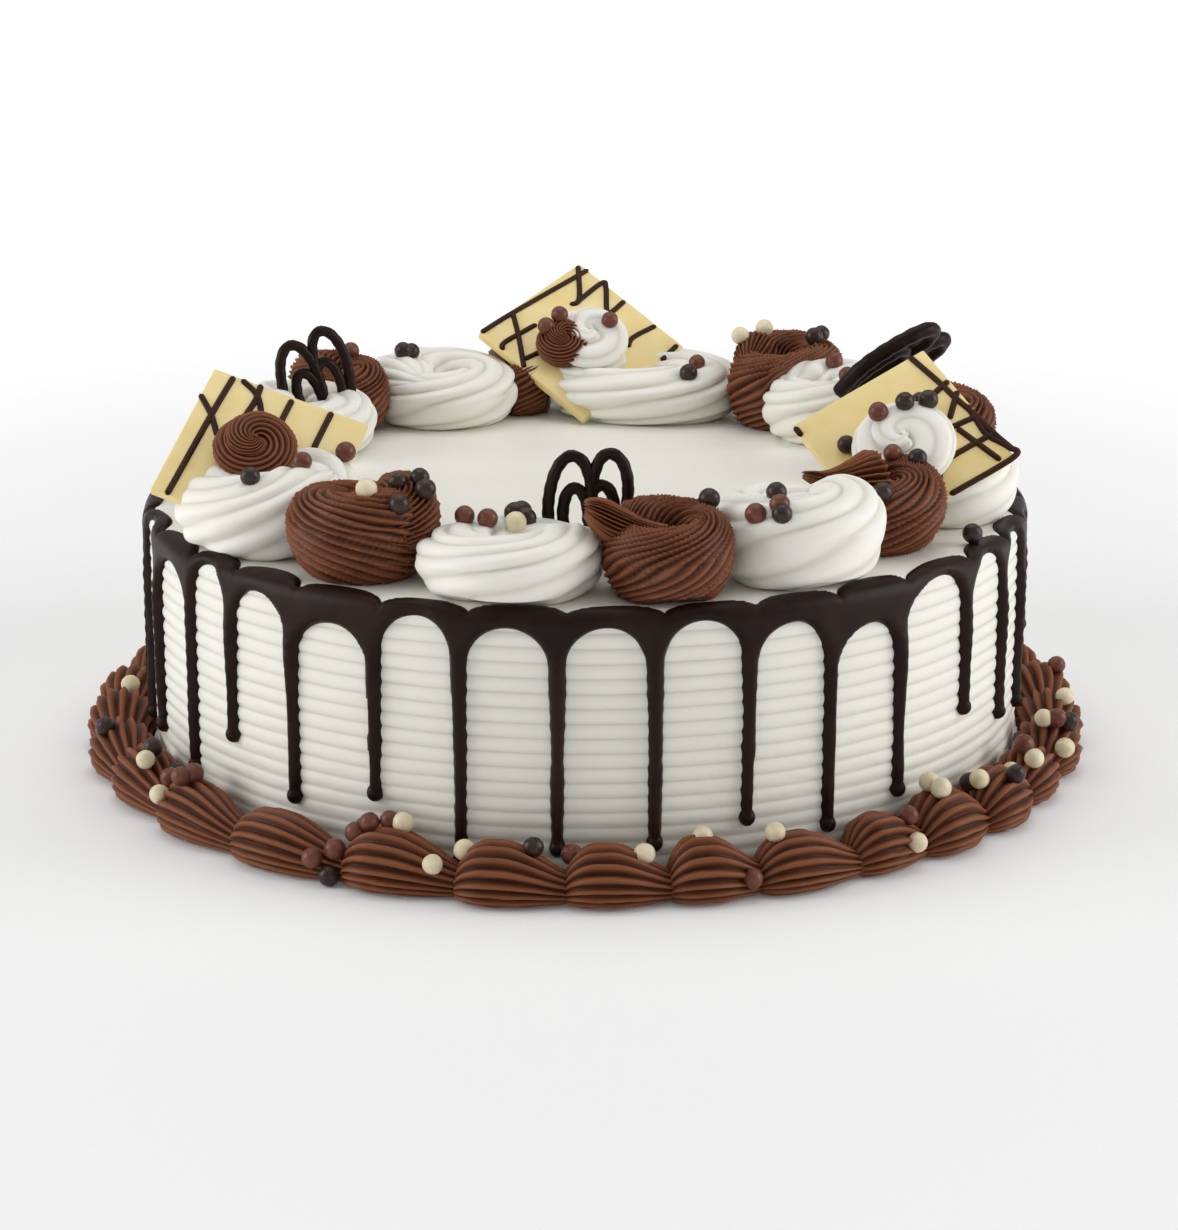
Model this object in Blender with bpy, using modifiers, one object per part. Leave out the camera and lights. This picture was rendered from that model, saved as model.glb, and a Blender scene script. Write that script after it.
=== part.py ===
"""Black forest drip cake: an uncut round cake with combed icing and a poured chocolate drip, a piped
shell border round its foot, and a ring of rosettes with white chocolate squares, piped filigrees and
crisp pearls on top. Metres, +Z up, origin at the centre of the cake's base."""

import math
import random

import bmesh
import bpy
from mathutils import Euler, Matrix, Vector
from mathutils.bvhtree import BVHTree

MM = 0.001
PART_NAME = "black_forest_cake"

# Gap kept between neighbouring pieces
GAP = 0.3 * MM

# Iced body
CAKE_RADIUS = 104.0 * MM
CAKE_HEIGHT = 61.0 * MM
CAKE_STEPS = 30
RIDGE_COUNT = 18
RIDGE_PITCH = 3.3 * MM
RIDGE_DEPTH = 0.8 * MM
EDGE_INSET = 3.5 * MM

# Chocolate drip: angle of each leg round the cake in degrees, height at which it ends in millimetres
FRONT_DRIPS = ((188.5, 9.0), (199.5, 12.0), (212.0, 9.0), (221.5, 21.0), (232.5, 11.4), (244.3, 16.0),
               (255.2, 3.0), (266.8, 7.0), (278.2, 8.0), (289.5, 12.0), (300.3, 7.5), (311.2, 11.5),
               (324.3, 24.7), (335.5, 18.0), (346.0, 15.0), (356.5, 28.0))
BACK_DRIP_COUNT = 16
BACK_DRIP_ENDS = (7.0, 26.0)
BACK_DRIP_WANDER = 1.0
DRIP_RADIUS = CAKE_RADIUS + 0.5 * MM
DRIP_THICKNESS = 1.8 * MM
DRIP_THIN_LIP = 0.35
DRIP_TOP_Z = CAKE_HEIGHT + 0.35 * MM
DRIP_LEG_WIDTH = 3.0 * MM
DRIP_TIP_HEIGHT = 2.4 * MM
DRIP_ARCH_TOP = 56.5 * MM
DRIP_ARCH_SPRING = 49.0 * MM
DRIP_INNER_RADIUS = 99.8 * MM
DRIP_NOTCH_RADIUS = 102.6 * MM

# Shell border round the foot: where the front shells start, then an even run behind
FRONT_SHELLS = (202.0, 215.4, 229.0, 244.0, 257.0, 268.6, 279.6, 289.5, 301.1, 311.0)
BACK_SHELL_COUNT = 24
SHELL_INNER_RADIUS = CAKE_RADIUS + 0.5 * MM
SHELL_WIDTH = 13.5 * MM
SHELL_HEIGHT = 13.5 * MM
SHELL_RIB_DEPTH = 0.11
SHELL_RIBS = 4
# Sections of a shell: share of its length, share of its full size
SHELL_SECTIONS = ((0.0, 0.62), (0.25, 1.0), (0.62, 0.86))

# Rosettes: angle round the cake, diameter, distance from the cake's axis and height
WHITE_ROSETTES = ((214.0, 42.0, 86.0, 22.5), (259.5, 41.0, 87.5, 16.0), (301.5, 39.0, 87.0, 21.5),
                  (345.0, 37.0, 85.0, 17.0), (43.5, 35.0, 86.0, 19.0), (79.0, 50.0, 88.0, 16.5),
                  (115.4, 41.0, 88.5, 17.5), (148.0, 37.0, 84.0, 17.0))
BROWN_ROSETTES = ((236.2, 33.5, 87.0, 21.0), (281.0, 29.0, 91.5, 20.0), (322.7, 32.0, 82.0, 20.5),
                  (12.0, 33.0, 86.0, 22.0), (54.5, 33.0, 89.5, 24.0), (101.5, 24.0, 91.0, 17.0),
                  (134.5, 27.0, 91.0, 21.5), (181.0, 28.0, 83.0, 19.0))
# Rosettes that are longer round the cake than across: width across as a share of the diameter
SQUASHED = {"rosette_white_06": 0.74}
ROSETTE_COLUMNS = 12
# Rings of a swirl, from its foot over its crest: angle round the strand, and whether it lies in a groove
ROSETTE_RINGS = ((-40.0, False), (-4.0, False), (26.0, True), (55.0, False), (86.0, True), (132.0, False))
DOLLOP_RINGS = ((-40.0, False), (0.0, False), (30.0, True), (58.0, False))
GROOVES = {"white_icing": 0.10, "brown_icing": 0.17}
DOLLOP_GROOVE = 0.08
# The strand's thickness as a share of the swirl's radius
STRAND = 0.46
# How wide a swirl's foot is as a share of what it would be if it were as wide as the strand's underside
FOOT = {"white_icing": 0.94, "brown_icing": 0.80}
# How far inside the chocolate's upper edge a rosette starts to lift over it, and how steeply
LIP_REACH = 2.0 * MM
LIP_RISE = 0.55
ROSETTE_Z = CAKE_HEIGHT + GAP

# White chocolate squares: side, centre, then turn about the upright, lean and turn in the square's plane
SQUARES = {
    "left": (37.8, (-73.2, -42.1, 79.0), (14.7, 39.7, -29.5)),
    "right": (36.5, (72.7, -29.2, 79.6), (-9.9, 43.1, -51.5)),
    "back": (38.9, (-1.3, 92.0, 78.7), (12.2, 37.5, -53.3)),
}
SQUARE_THICKNESS = 2.4 * MM
# Rosettes that a square lies on. In any other that it meets, it is tucked into a thin slot.
LIES_ON = {"left": ("rosette_brown_08",), "right": ("rosette_white_04",), "back": ("rosette_brown_06",)}
OPEN_SLOT = 30.0 * MM
DRIZZLE_WIDTH = 1.3 * MM
DRIZZLE_HEIGHT = 0.7 * MM
# Drizzled strokes in each square's own plane, in millimetres from its centre
DRIZZLE = {
    "left": (((-14.0, 18.0), (-15.0, -18.0)), ((-18.0, 10.0), (-11.0, 1.0)), ((-12.0, 18.0), (-3.5, 9.5)),
             ((-7.0, 18.0), (-7.5, 8.5)), ((0.5, 18.0), (0.5, 9.0)), ((10.0, 18.0), (10.5, 4.5)),
             ((-8.5, -8.0), (-8.5, -18.0))),
    "right": (((-17.0, 14.5), (16.0, 17.0)), ((-5.5, 8.5), (-7.5, 17.0)), ((17.2, 17.2), (17.2, 0.5)),
              ((4.5, 12.0), (17.0, 15.0)), ((3.5, 10.5), (4.5, 17.0)), ((10.5, 17.0), (10.5, 5.0))),
    "back": (((-18.0, -18.0), (-17.0, 18.0)), ((-18.0, 17.5), (-10.5, 7.5)), ((-10.0, 8.0), (-10.0, 18.0)),
             ((-9.5, 18.0), (-2.0, 12.0)), ((-18.0, -7.5), (-3.0, -17.5)), ((-11.5, -17.0), (-11.5, -5.5)),
             ((8.5, 18.0), (9.5, 8.0))),
}

# Small dollops piped on the squares: the square, place in its plane, diameter, height and icing
DOLLOPS = {
    "dollop_white_right": ("right", (3.1, -1.5), 24.0, 8.5, "white_icing"),
    "dollop_brown_back": ("back", (-0.3, -7.6), 13.0, 7.5, "brown_icing"),
    "dollop_white_back": ("back", (3.1, -0.7), 21.0, 8.5, "white_icing"),
    "dollop_brown_left": ("left", (-1.3, -1.3), 19.0, 9.0, "brown_icing"),
}

# Icing that stands in front of each dollop and presses it back
IN_FRONT = {
    "dollop_white_right": ("rosette_brown_03",),
    "dollop_brown_back": ("rosette_white_06",),
    "dollop_white_back": ("rosette_white_06", "dollop_brown_back"),
    "dollop_brown_left": ("rosette_white_01",),
}

# Filigrees: foot, turn about the upright, lean to the right, and what the fan's size is multiplied by
FILIGREES = {
    "front": ((0.0, -72.0, 63.0), 0.0, 0.0, 0.92),
    "left": ((-61.4, 45.0, 64.2), 15.0, -25.0, 1.0),
    "right": ((66.0, 40.0, 74.0), 70.0, 45.0, 1.1),
}
# Arches of the fan: crown's place across, half width and height of the crown, in millimetres
FILIGREE_ARCHES = ((-4.2, 4.4, 26.0), (5.2, 4.7, 27.0), (-2.7, 2.3, 18.0), (3.8, 2.5, 18.8))
# Where an arch's outer leg stands, as a share of its half width, and how far its legs stretch the arch
FILIGREE_FOOT = 0.4
ARCH_STRETCH = 1.6
STROKE_RADIUS = 1.1 * MM
FAN_SIZE = (21.5 * MM, 30.0 * MM)

# Crisp pearls: how far each lies across and behind its rosette's or dollop's centre, in millimetres
PEARL_RADIUS = 2.35 * MM
PEARL_SUNK = 0.4
TOP_PEARLS = {
    "rosette_white_01": ((-2.1, -12.2), (8.9, -7.2)),
    "rosette_white_02": ((-10.2, 7.3), (-5.2, 5.8), (1.8, 10.3), (0.8, 4.8)),
    "rosette_white_03": ((-4.9, -7.1), (-9.4, -11.6), (-3.9, -14.1)),
    "rosette_white_05": ((1.9, 6.5), (3.9, -8.5)),
    "rosette_white_06": ((12.8, -7.4), (10.8, -13.4)),
    "rosette_white_07": ((-7.8, 1.2),),
    "rosette_brown_01": ((1.8, -8.7), (8.3, -5.2), (12.8, -3.2), (8.8, -11.2)),
    "rosette_brown_02": ((8.3, 8.1), (2.3, -1.9)),
    "rosette_brown_03": ((0.5, -11.3),),
    "rosette_brown_05": ((7.3, 2.1), (-11.7, 5.1), (-5.2, 7.6)),
    "rosette_brown_07": ((2.3, 6.0),),
    "rosette_brown_08": ((-12.0, 3.9),),
    "dollop_white_right": ((4.3, -4.3), (-5.7, -1.8), (-0.7, -6.3)),
    "dollop_brown_back": ((-1.8, -4.6),),
}
# Pearls strewn on the shell border: angle round the cake and distance from its axis
BORDER_PEARLS = ((177.7, 112.0), (195.6, 117.0), (208.4, 112.0), (213.2, 112.0), (215.8, 117.0),
                 (218.8, 112.0), (240.2, 117.5), (243.5, 112.5), (249.1, 109.0), (253.9, 116.0),
                 (256.7, 111.0), (276.4, 112.0), (283.2, 109.0), (287.5, 117.5), (291.1, 112.5),
                 (307.5, 117.0), (313.7, 110.5), (321.8, 110.0), (325.0, 117.5), (331.1, 110.5),
                 (333.3, 114.5), (342.3, 117.5), (343.6, 112.5), (355.2, 115.5), (19.9, 117.0))
# The hidden back of the border carries pearls in the same sparse way
BACK_PEARL_COUNT = 5
BACK_PEARL_ANGLES = (30.0, 170.0)
BORDER_PEARL_RANGE = (109.0, 117.5)

# Surface finishes: base colour, roughness
FINISHES = {
    "white_icing": ((0.80, 0.79, 0.73), 0.55),
    "brown_icing": ((0.16, 0.055, 0.030), 0.50),
    "dark_chocolate": ((0.018, 0.010, 0.007), 0.25),
    "white_chocolate": ((0.74, 0.62, 0.30), 0.40),
}


def finish(name):
    """Return the Principled material of that name."""
    material = bpy.data.materials.get(name)
    if material is None:
        colour, roughness = FINISHES[name]
        material = bpy.data.materials.new(name)
        material.use_nodes = True
        shader = material.node_tree.nodes["Principled BSDF"]
        shader.inputs["Base Color"].default_value = (*colour, 1.0)
        shader.inputs["Roughness"].default_value = roughness
        material.diffuse_color = (*colour, 1.0)
    return material


def polar(angle, radius, z=0.0):
    """A point at an angle in degrees round the upright axis."""
    turn = math.radians(angle)
    return Vector((radius * math.cos(turn), radius * math.sin(turn), z))


def add_object(name, data, collection, material=None):
    """Link data as an object in a collection, with its material."""
    item = bpy.data.objects.new(name, data)
    collection.objects.link(item)
    if material:
        data.materials.append(finish(material))
    return item


def mesh_from(name, shape):
    """Turn a bmesh into mesh data with its faces pointing out."""
    bmesh.ops.recalc_face_normals(shape, faces=shape.faces[:])
    mesh = bpy.data.meshes.new(name)
    shape.to_mesh(mesh)
    shape.free()
    return mesh


def loft(name, rings, start=None, end=None, loop=False):
    """Skin closed rings of points. The ends are poles, or the last ring meets the first in a loop."""
    shape = bmesh.new()
    rows = [[shape.verts.new(point) for point in ring] for ring in rings]
    pairs = list(zip(rows, rows[1:]))
    if loop:
        pairs.append((rows[-1], rows[0]))
    size = len(rows[0])
    for low, high in pairs:
        for k in range(size):
            shape.faces.new((low[k], low[(k + 1) % size], high[(k + 1) % size], high[k]))
    for pole, row in ((start, rows[0]), (end, rows[-1])):
        if pole is not None:
            tip = shape.verts.new(pole)
            for k in range(size):
                shape.faces.new((tip, row[k], row[(k + 1) % size]))
    return mesh_from(name, shape)


def apply_modifiers(item):
    """Replace an object's mesh by its evaluated one and drop the modifiers."""
    evaluated = item.evaluated_get(bpy.context.evaluated_depsgraph_get())
    mesh = bpy.data.meshes.new_from_object(evaluated)
    item.modifiers.clear()
    item.data = mesh


def boolean(item, others, operation):
    """Join or cut an object with a collection of shapes, which are then removed."""
    group = bpy.data.collections.new("shapes")
    bpy.context.scene.collection.children.link(group)
    for other in others:
        group.objects.link(other)
    step = item.modifiers.new(operation.lower(), "BOOLEAN")
    step.operation = operation
    # The swirls' pressed sides and the sunk pearls leave slivers that only this solver joins closed
    step.solver = "MANIFOLD"
    step.operand_type = "COLLECTION"
    step.collection = group
    apply_modifiers(item)
    for other in others:
        bpy.data.objects.remove(other)
    bpy.data.collections.remove(group)


def keep_largest(item):
    """Drop the loose scraps that a cut leaves."""
    shape = bmesh.new()
    shape.from_mesh(item.data)
    unseen = set(shape.verts)
    pieces = []
    while unseen:
        front = [unseen.pop()]
        piece = list(front)
        while front:
            for edge in front.pop().link_edges:
                for vertex in edge.verts:
                    if vertex in unseen:
                        unseen.remove(vertex)
                        front.append(vertex)
                        piece.append(vertex)
        pieces.append(piece)
    pieces.sort(key=len)
    for piece in pieces[:-1]:
        bmesh.ops.delete(shape, geom=piece, context="VERTS")
    shape.to_mesh(item.data)
    shape.free()


def make_body(collection):
    """The iced cake: a turned profile with combed ridges up the side."""
    top = RIDGE_COUNT * RIDGE_PITCH
    profile = [(0.0, CAKE_HEIGHT), (CAKE_RADIUS - EDGE_INSET, CAKE_HEIGHT),
               (CAKE_RADIUS - 0.35 * EDGE_INSET, CAKE_HEIGHT - 0.15 * EDGE_INSET)]
    for k in range(RIDGE_COUNT):
        profile.append((CAKE_RADIUS - RIDGE_DEPTH, top - k * RIDGE_PITCH))
        profile.append((CAKE_RADIUS, top - (k + 0.5) * RIDGE_PITCH))
    profile += [(CAKE_RADIUS - RIDGE_DEPTH, 0.0), (0.0, 0.0)]
    mesh = bpy.data.meshes.new("iced_cake")
    edges = [(k, k + 1) for k in range(len(profile) - 1)]
    mesh.from_pydata([(radius, 0.0, z) for radius, z in profile], edges, [])
    body = add_object("iced_cake", mesh, collection, "white_icing")
    turn = body.modifiers.new("turn", "SCREW")
    turn.steps = CAKE_STEPS
    turn.render_steps = CAKE_STEPS
    turn.use_merge_vertices = True
    turn.merge_threshold = 0.00001
    turn.use_smooth_shade = False
    return body


def drip_legs():
    """Every leg of the drip as angle and end height, once round the cake."""
    draw = random.Random(4)
    legs = list(FRONT_DRIPS)
    first, last = FRONT_DRIPS[0][0] + 360.0, FRONT_DRIPS[-1][0]
    step = (first - last) / (BACK_DRIP_COUNT + 1)
    for k in range(1, BACK_DRIP_COUNT + 1):
        legs.append((last + k * step
                     + draw.uniform(-BACK_DRIP_WANDER, BACK_DRIP_WANDER),
                     draw.uniform(*BACK_DRIP_ENDS)))
    return legs


def make_drip(collection):
    """The poured chocolate: a scalloped band over the top edge with legs down the side."""
    shape = bmesh.new()
    legs = drip_legs()
    half_leg = math.degrees(0.5 * DRIP_LEG_WIDTH / DRIP_RADIUS)
    columns = []
    for k, (angle, end) in enumerate(legs):
        following = legs[(k + 1) % len(legs)][0] + (360.0 if k + 1 == len(legs) else 0.0)
        gap = following - angle - 2.0 * half_leg
        arch = DRIP_ARCH_SPRING + 0.8 * (DRIP_ARCH_TOP - DRIP_ARCH_SPRING)
        columns.append((angle - half_leg, DRIP_NOTCH_RADIUS, DRIP_ARCH_SPRING, end * MM))
        columns.append((angle + half_leg, DRIP_NOTCH_RADIUS, DRIP_ARCH_SPRING, None))
        columns.append((angle + half_leg + 0.22 * gap, DRIP_INNER_RADIUS, arch + 1.5 * MM, None))
        columns.append((angle + half_leg + 0.78 * gap, DRIP_INNER_RADIUS, arch + 1.5 * MM, None))
    rows = []
    for angle, inner, low, end in columns:
        rows.append([shape.verts.new(polar(angle, inner, DRIP_TOP_Z)),
                     shape.verts.new(polar(angle, DRIP_RADIUS - 0.2 * MM, DRIP_TOP_Z)),
                     shape.verts.new(polar(angle, DRIP_RADIUS, low))])
    for k, row in enumerate(rows):
        beside = rows[(k + 1) % len(rows)]
        for upper in range(2):
            shape.faces.new((row[upper], row[upper + 1], beside[upper + 1], beside[upper]))
    for k in range(0, len(columns), 4):
        end = columns[k][3]
        angle = 0.5 * (columns[k][0] + columns[k + 1][0])
        above = (rows[k][2], rows[k + 1][2])
        for share, z in ((1.1, end + DRIP_TIP_HEIGHT), (0.5, end)):
            below = tuple(shape.verts.new(polar(angle + side * share * half_leg, DRIP_RADIUS, z))
                          for side in (-1.0, 1.0))
            shape.faces.new((above[0], below[0], below[1], above[1]))
            above = below
    mesh = bpy.data.meshes.new("chocolate_drip")
    shape.to_mesh(mesh)
    shape.free()
    drip = add_object("chocolate_drip", mesh, collection, "dark_chocolate")
    thick = drip.vertex_groups.new(name="thick")
    for vertex in mesh.vertices:
        inner = math.hypot(vertex.co.x, vertex.co.y) < DRIP_RADIUS - MM
        thick.add([vertex.index], 0.0 if inner else 1.0, "REPLACE")
    wall = drip.modifiers.new("thickness", "SOLIDIFY")
    wall.thickness = DRIP_THICKNESS
    wall.offset = 1.0
    wall.use_even_offset = True
    wall.vertex_group = thick.name
    wall.thickness_vertex_group = DRIP_THIN_LIP
    return drip


def shell_starts():
    """The angle at which each shell of the border starts, once round the cake."""
    starts = list(FRONT_SHELLS)
    first, last = FRONT_SHELLS[0] + 360.0, FRONT_SHELLS[-1]
    step = (first - last) / BACK_SHELL_COUNT
    return starts + [last + k * step for k in range(1, BACK_SHELL_COUNT)]


def shell_section(angle, share):
    """One section of the border, ribbed over its outer face, at a share of the shell's full size."""
    count = 2 * SHELL_RIBS + 1
    middle = SHELL_INNER_RADIUS + 0.45 * SHELL_WIDTH * share
    points = [polar(angle, SHELL_INNER_RADIUS), polar(angle, SHELL_INNER_RADIUS, 0.6 * SHELL_HEIGHT * share)]
    for k in range(1, count):
        turn = math.pi * (0.72 - 0.72 * k / (count - 1))
        rib = 1.0 if k % 2 else 1.0 - SHELL_RIB_DEPTH
        reach = 0.55 * SHELL_WIDTH * share * rib * math.cos(turn)
        points.append(polar(angle, max(middle + reach, SHELL_INNER_RADIUS),
                            SHELL_HEIGHT * share * rib * math.sin(turn)))
    points[-1].z = 0.0
    return points


def make_border(collection):
    """The shell border: one ring of ribbed shells, each from a full head to a narrow tail."""
    starts = shell_starts()
    rings = []
    for k, start in enumerate(starts):
        following = starts[(k + 1) % len(starts)] + (360.0 if k + 1 == len(starts) else 0.0)
        for along, share in SHELL_SECTIONS:
            rings.append(shell_section(start + along * (following - start), share))
    border = add_object("shell_border", loft("shell_border", rings, loop=True), collection, "brown_icing")
    slots = []
    for angle, end in drip_legs():
        bottom = end * MM - GAP
        if bottom < SHELL_HEIGHT:
            depth = DRIP_THICKNESS + 2.0 * GAP
            size = (depth, 1.15 * DRIP_LEG_WIDTH + 2.0 * GAP, 2.0 * SHELL_HEIGHT - bottom)
            place = Matrix.Translation((DRIP_RADIUS + 0.5 * depth - GAP, 0.0, SHELL_HEIGHT + 0.5 * bottom))
            slots.append(block("slot", size, Matrix.Rotation(math.radians(angle), 4, "Z") @ place))
    boolean(border, slots, "DIFFERENCE")
    return border


class Rosette:
    """A piped rosette's place and size on top of the cake."""

    def __init__(self, name, icing, angle, diameter, distance, height):
        self.name = name
        self.icing = icing
        self.centre = polar(angle, distance * MM, ROSETTE_Z)
        self.radius = 0.5 * diameter * MM
        self.height = height * MM
        self.angle = angle


def rosettes():
    """All rosettes, white and brown, as places and sizes."""
    found = []
    for colour, sizes in (("white", WHITE_ROSETTES), ("brown", BROWN_ROSETTES)):
        for k, size in enumerate(sizes):
            found.append(Rosette(f"rosette_{colour}_{k + 1:02d}", f"{colour}_icing", *size))
    return found


def swirl_rings(radius, height, depth, foot_share, places):
    """Rings of a grooved nest of icing, flat below, with a step where the strand laps over its start."""
    strand = STRAND * radius
    foot = math.sin(math.radians(places[0][0]))
    rings = []
    for slope, grooved in places:
        slope = math.radians(slope)
        bulge = strand * math.cos(slope) * (1.0 - depth if grooved else 1.0)
        lift = height * (math.sin(slope) - foot) / (1.0 - foot)
        ring = []
        for k in range(ROSETTE_COLUMNS):
            along = k / (ROSETTE_COLUMNS - 1)
            turn = math.tau * k / ROSETTE_COLUMNS
            tuck = 1.0 - (1.0 - foot_share) * max(1.0 - 1.7 * lift / height, 0.0)
            reach = (radius - strand + bulge) * (0.93 + 0.1 * along) * tuck
            rise = lift * (0.86 + 0.14 * along)
            ring.append(Vector((reach * math.cos(turn), reach * math.sin(turn), rise)))
        rings.append(ring)
    return rings


def press_together(rings, rosette, neighbours):
    """Flatten a rosette where it presses on its neighbours and lift its lip over the chocolate band."""
    for ring in rings:
        for point in ring:
            for other in neighbours:
                away = other.centre - rosette.centre
                away.z = 0.0
                distance = away.length
                if distance > rosette.radius + other.radius + GAP:
                    continue
                away.normalize()
                wall = (distance ** 2 + rosette.radius ** 2 - other.radius ** 2) / (2.0 * distance)
                over = (point - rosette.centre).dot(away) - (wall - 0.6 * GAP)
                if over > 0.0:
                    point -= away * over
            outside = math.hypot(point.x, point.y) - DRIP_INNER_RADIUS + LIP_REACH
            if outside > 0.0:
                point.z = max(point.z, ROSETTE_Z + outside * LIP_RISE)


def make_rosette(rosette, everyone, collection):
    """One rosette as a closed nest, pressed against its neighbours."""
    icing = rosette.icing
    rings = swirl_rings(rosette.radius, rosette.height, GROOVES[icing], FOOT[icing], ROSETTE_RINGS)
    turn = Matrix.Rotation(math.radians(rosette.angle), 3, "Z")
    for ring in rings:
        for point in ring:
            point.x *= SQUASHED.get(rosette.name, 1.0)
            point.xy = (turn @ point).xy
            point += rosette.centre
    press_together(rings, rosette, [other for other in everyone if other is not rosette])
    hollow = rosette.centre + Vector((0.0, 0.0, 0.55 * rosette.height))
    mesh = loft(rosette.name, rings, start=rosette.centre, end=hollow)
    return add_object(rosette.name, mesh, collection, icing)


def square_frame(name):
    """A square's matrix: its face looks along its own +Z."""
    side, centre, (turn, lean, spin) = SQUARES[name]
    facing = (Matrix.Rotation(math.radians(turn), 4, "Z") @ Matrix.Rotation(math.radians(lean), 4, "X")
              @ Matrix.Rotation(math.radians(spin), 4, "Z"))
    return side * MM, Matrix.Translation(Vector(centre) * MM) @ facing


def block(name, size, matrix):
    """A box of that size with the matrix applied to its mesh."""
    shape = bmesh.new()
    bmesh.ops.create_cube(shape, size=1.0, matrix=matrix @ Matrix.Diagonal((*size, 1.0)))
    return bpy.data.objects.new(name, mesh_from(name, shape))


def make_square(name, collection):
    """A white chocolate square with its dark drizzle fused on the face."""
    side, frame = square_frame(name)
    plate = block(f"chocolate_square_{name}", (side, side, SQUARE_THICKNESS), frame)
    plate.data.materials.append(finish("white_chocolate"))
    collection.objects.link(plate)
    strokes = []
    for k, (start, end) in enumerate(DRIZZLE[name]):
        start, end = Vector(start) * MM, Vector(end) * MM
        along = end - start
        middle = 0.5 * (start + end)
        # Each stroke lies a hair higher than the one before, so that no two faces share a plane
        lift = 0.5 * SQUARE_THICKNESS + 0.03 * MM * k
        place = (Matrix.Translation((middle.x, middle.y, lift))
                 @ Matrix.Rotation(math.atan2(along.y, along.x), 4, "Z"))
        strokes.append(block("stroke", (along.length, DRIZZLE_WIDTH, 2.0 * DRIZZLE_HEIGHT), frame @ place))
    boolean(plate, strokes, "UNION")
    return plate


def square_slot(name, open_above):
    """The space that a square needs in the icing, thin or open above its face."""
    side, frame = square_frame(name)
    size = side + 2.0 * GAP
    low = -0.5 * SQUARE_THICKNESS - GAP
    high = OPEN_SLOT if open_above else 0.5 * SQUARE_THICKNESS + 1.3 * DRIZZLE_HEIGHT + GAP
    middle = Matrix.Translation((0.0, 0.0, 0.5 * (low + high)))
    return block("slot", (size, size, high - low), frame @ middle)


def filigree_slot(name):
    """The space that a filigree needs in the icing, open above its foot."""
    width, height = FAN_SIZE
    middle = Matrix.Translation((0.0, 0.0, 0.5 * height - 2.0 * STROKE_RADIUS))
    return block("slot", (width, 2.0 * (STROKE_RADIUS + GAP), height), filigree_frame(name) @ middle)


def hull_of(item):
    """A slightly larger convex shape round an object, to cut what is pressed against it."""
    shape = bmesh.new()
    shape.from_mesh(item.data)
    middle = sum((vertex.co for vertex in shape.verts), Vector()) / len(shape.verts)
    kept = set(bmesh.ops.convex_hull(shape, input=shape.verts[:])["geom"])
    bmesh.ops.delete(shape, geom=[face for face in shape.faces if face not in kept], context="FACES")
    loose = [vertex for vertex in shape.verts if not vertex.link_faces]
    bmesh.ops.delete(shape, geom=loose, context="VERTS")
    reach = max((vertex.co - middle).length for vertex in shape.verts)
    for vertex in shape.verts:
        vertex.co = middle + (vertex.co - middle) * (1.0 + 1.5 * GAP / reach)
    return bpy.data.objects.new("hull", mesh_from("hull", shape))


def dollop_frame(name):
    """A dollop's matrix: it is piped up its own Z from a square's face."""
    square, place = DOLLOPS[name][:2]
    lift = 0.5 * SQUARE_THICKNESS + DRIZZLE_HEIGHT + GAP
    return square_frame(square)[1] @ Matrix.Translation((place[0] * MM, place[1] * MM, lift))


def make_dollop(name, collection):
    """A small swirl piped on a square's face, with a closed peak."""
    diameter, height, icing = DOLLOPS[name][2:]
    matrix = dollop_frame(name)
    rings = swirl_rings(0.5 * diameter * MM, height * MM, DOLLOP_GROOVE, 1.0, DOLLOP_RINGS)
    rings = [[matrix @ point for point in ring] for ring in rings]
    peak = matrix @ Vector((0.0, 0.0, height * MM))
    dollop = add_object(name, loft(name, rings, start=matrix @ Vector(), end=peak), collection, icing)
    make_room(dollop, [hull_of(bpy.data.objects[other]) for other in IN_FRONT[name]])
    return dollop


def filigree_frame(name):
    """A filigree's matrix: its fan stands in its own XZ plane."""
    foot, turn, lean, size = FILIGREES[name]
    return (Matrix.Translation(Vector(foot) * MM) @ Matrix.Rotation(math.radians(lean), 4, "Y")
            @ Matrix.Rotation(math.radians(turn), 4, "Z") @ Matrix.Scale(size, 4))


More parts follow.
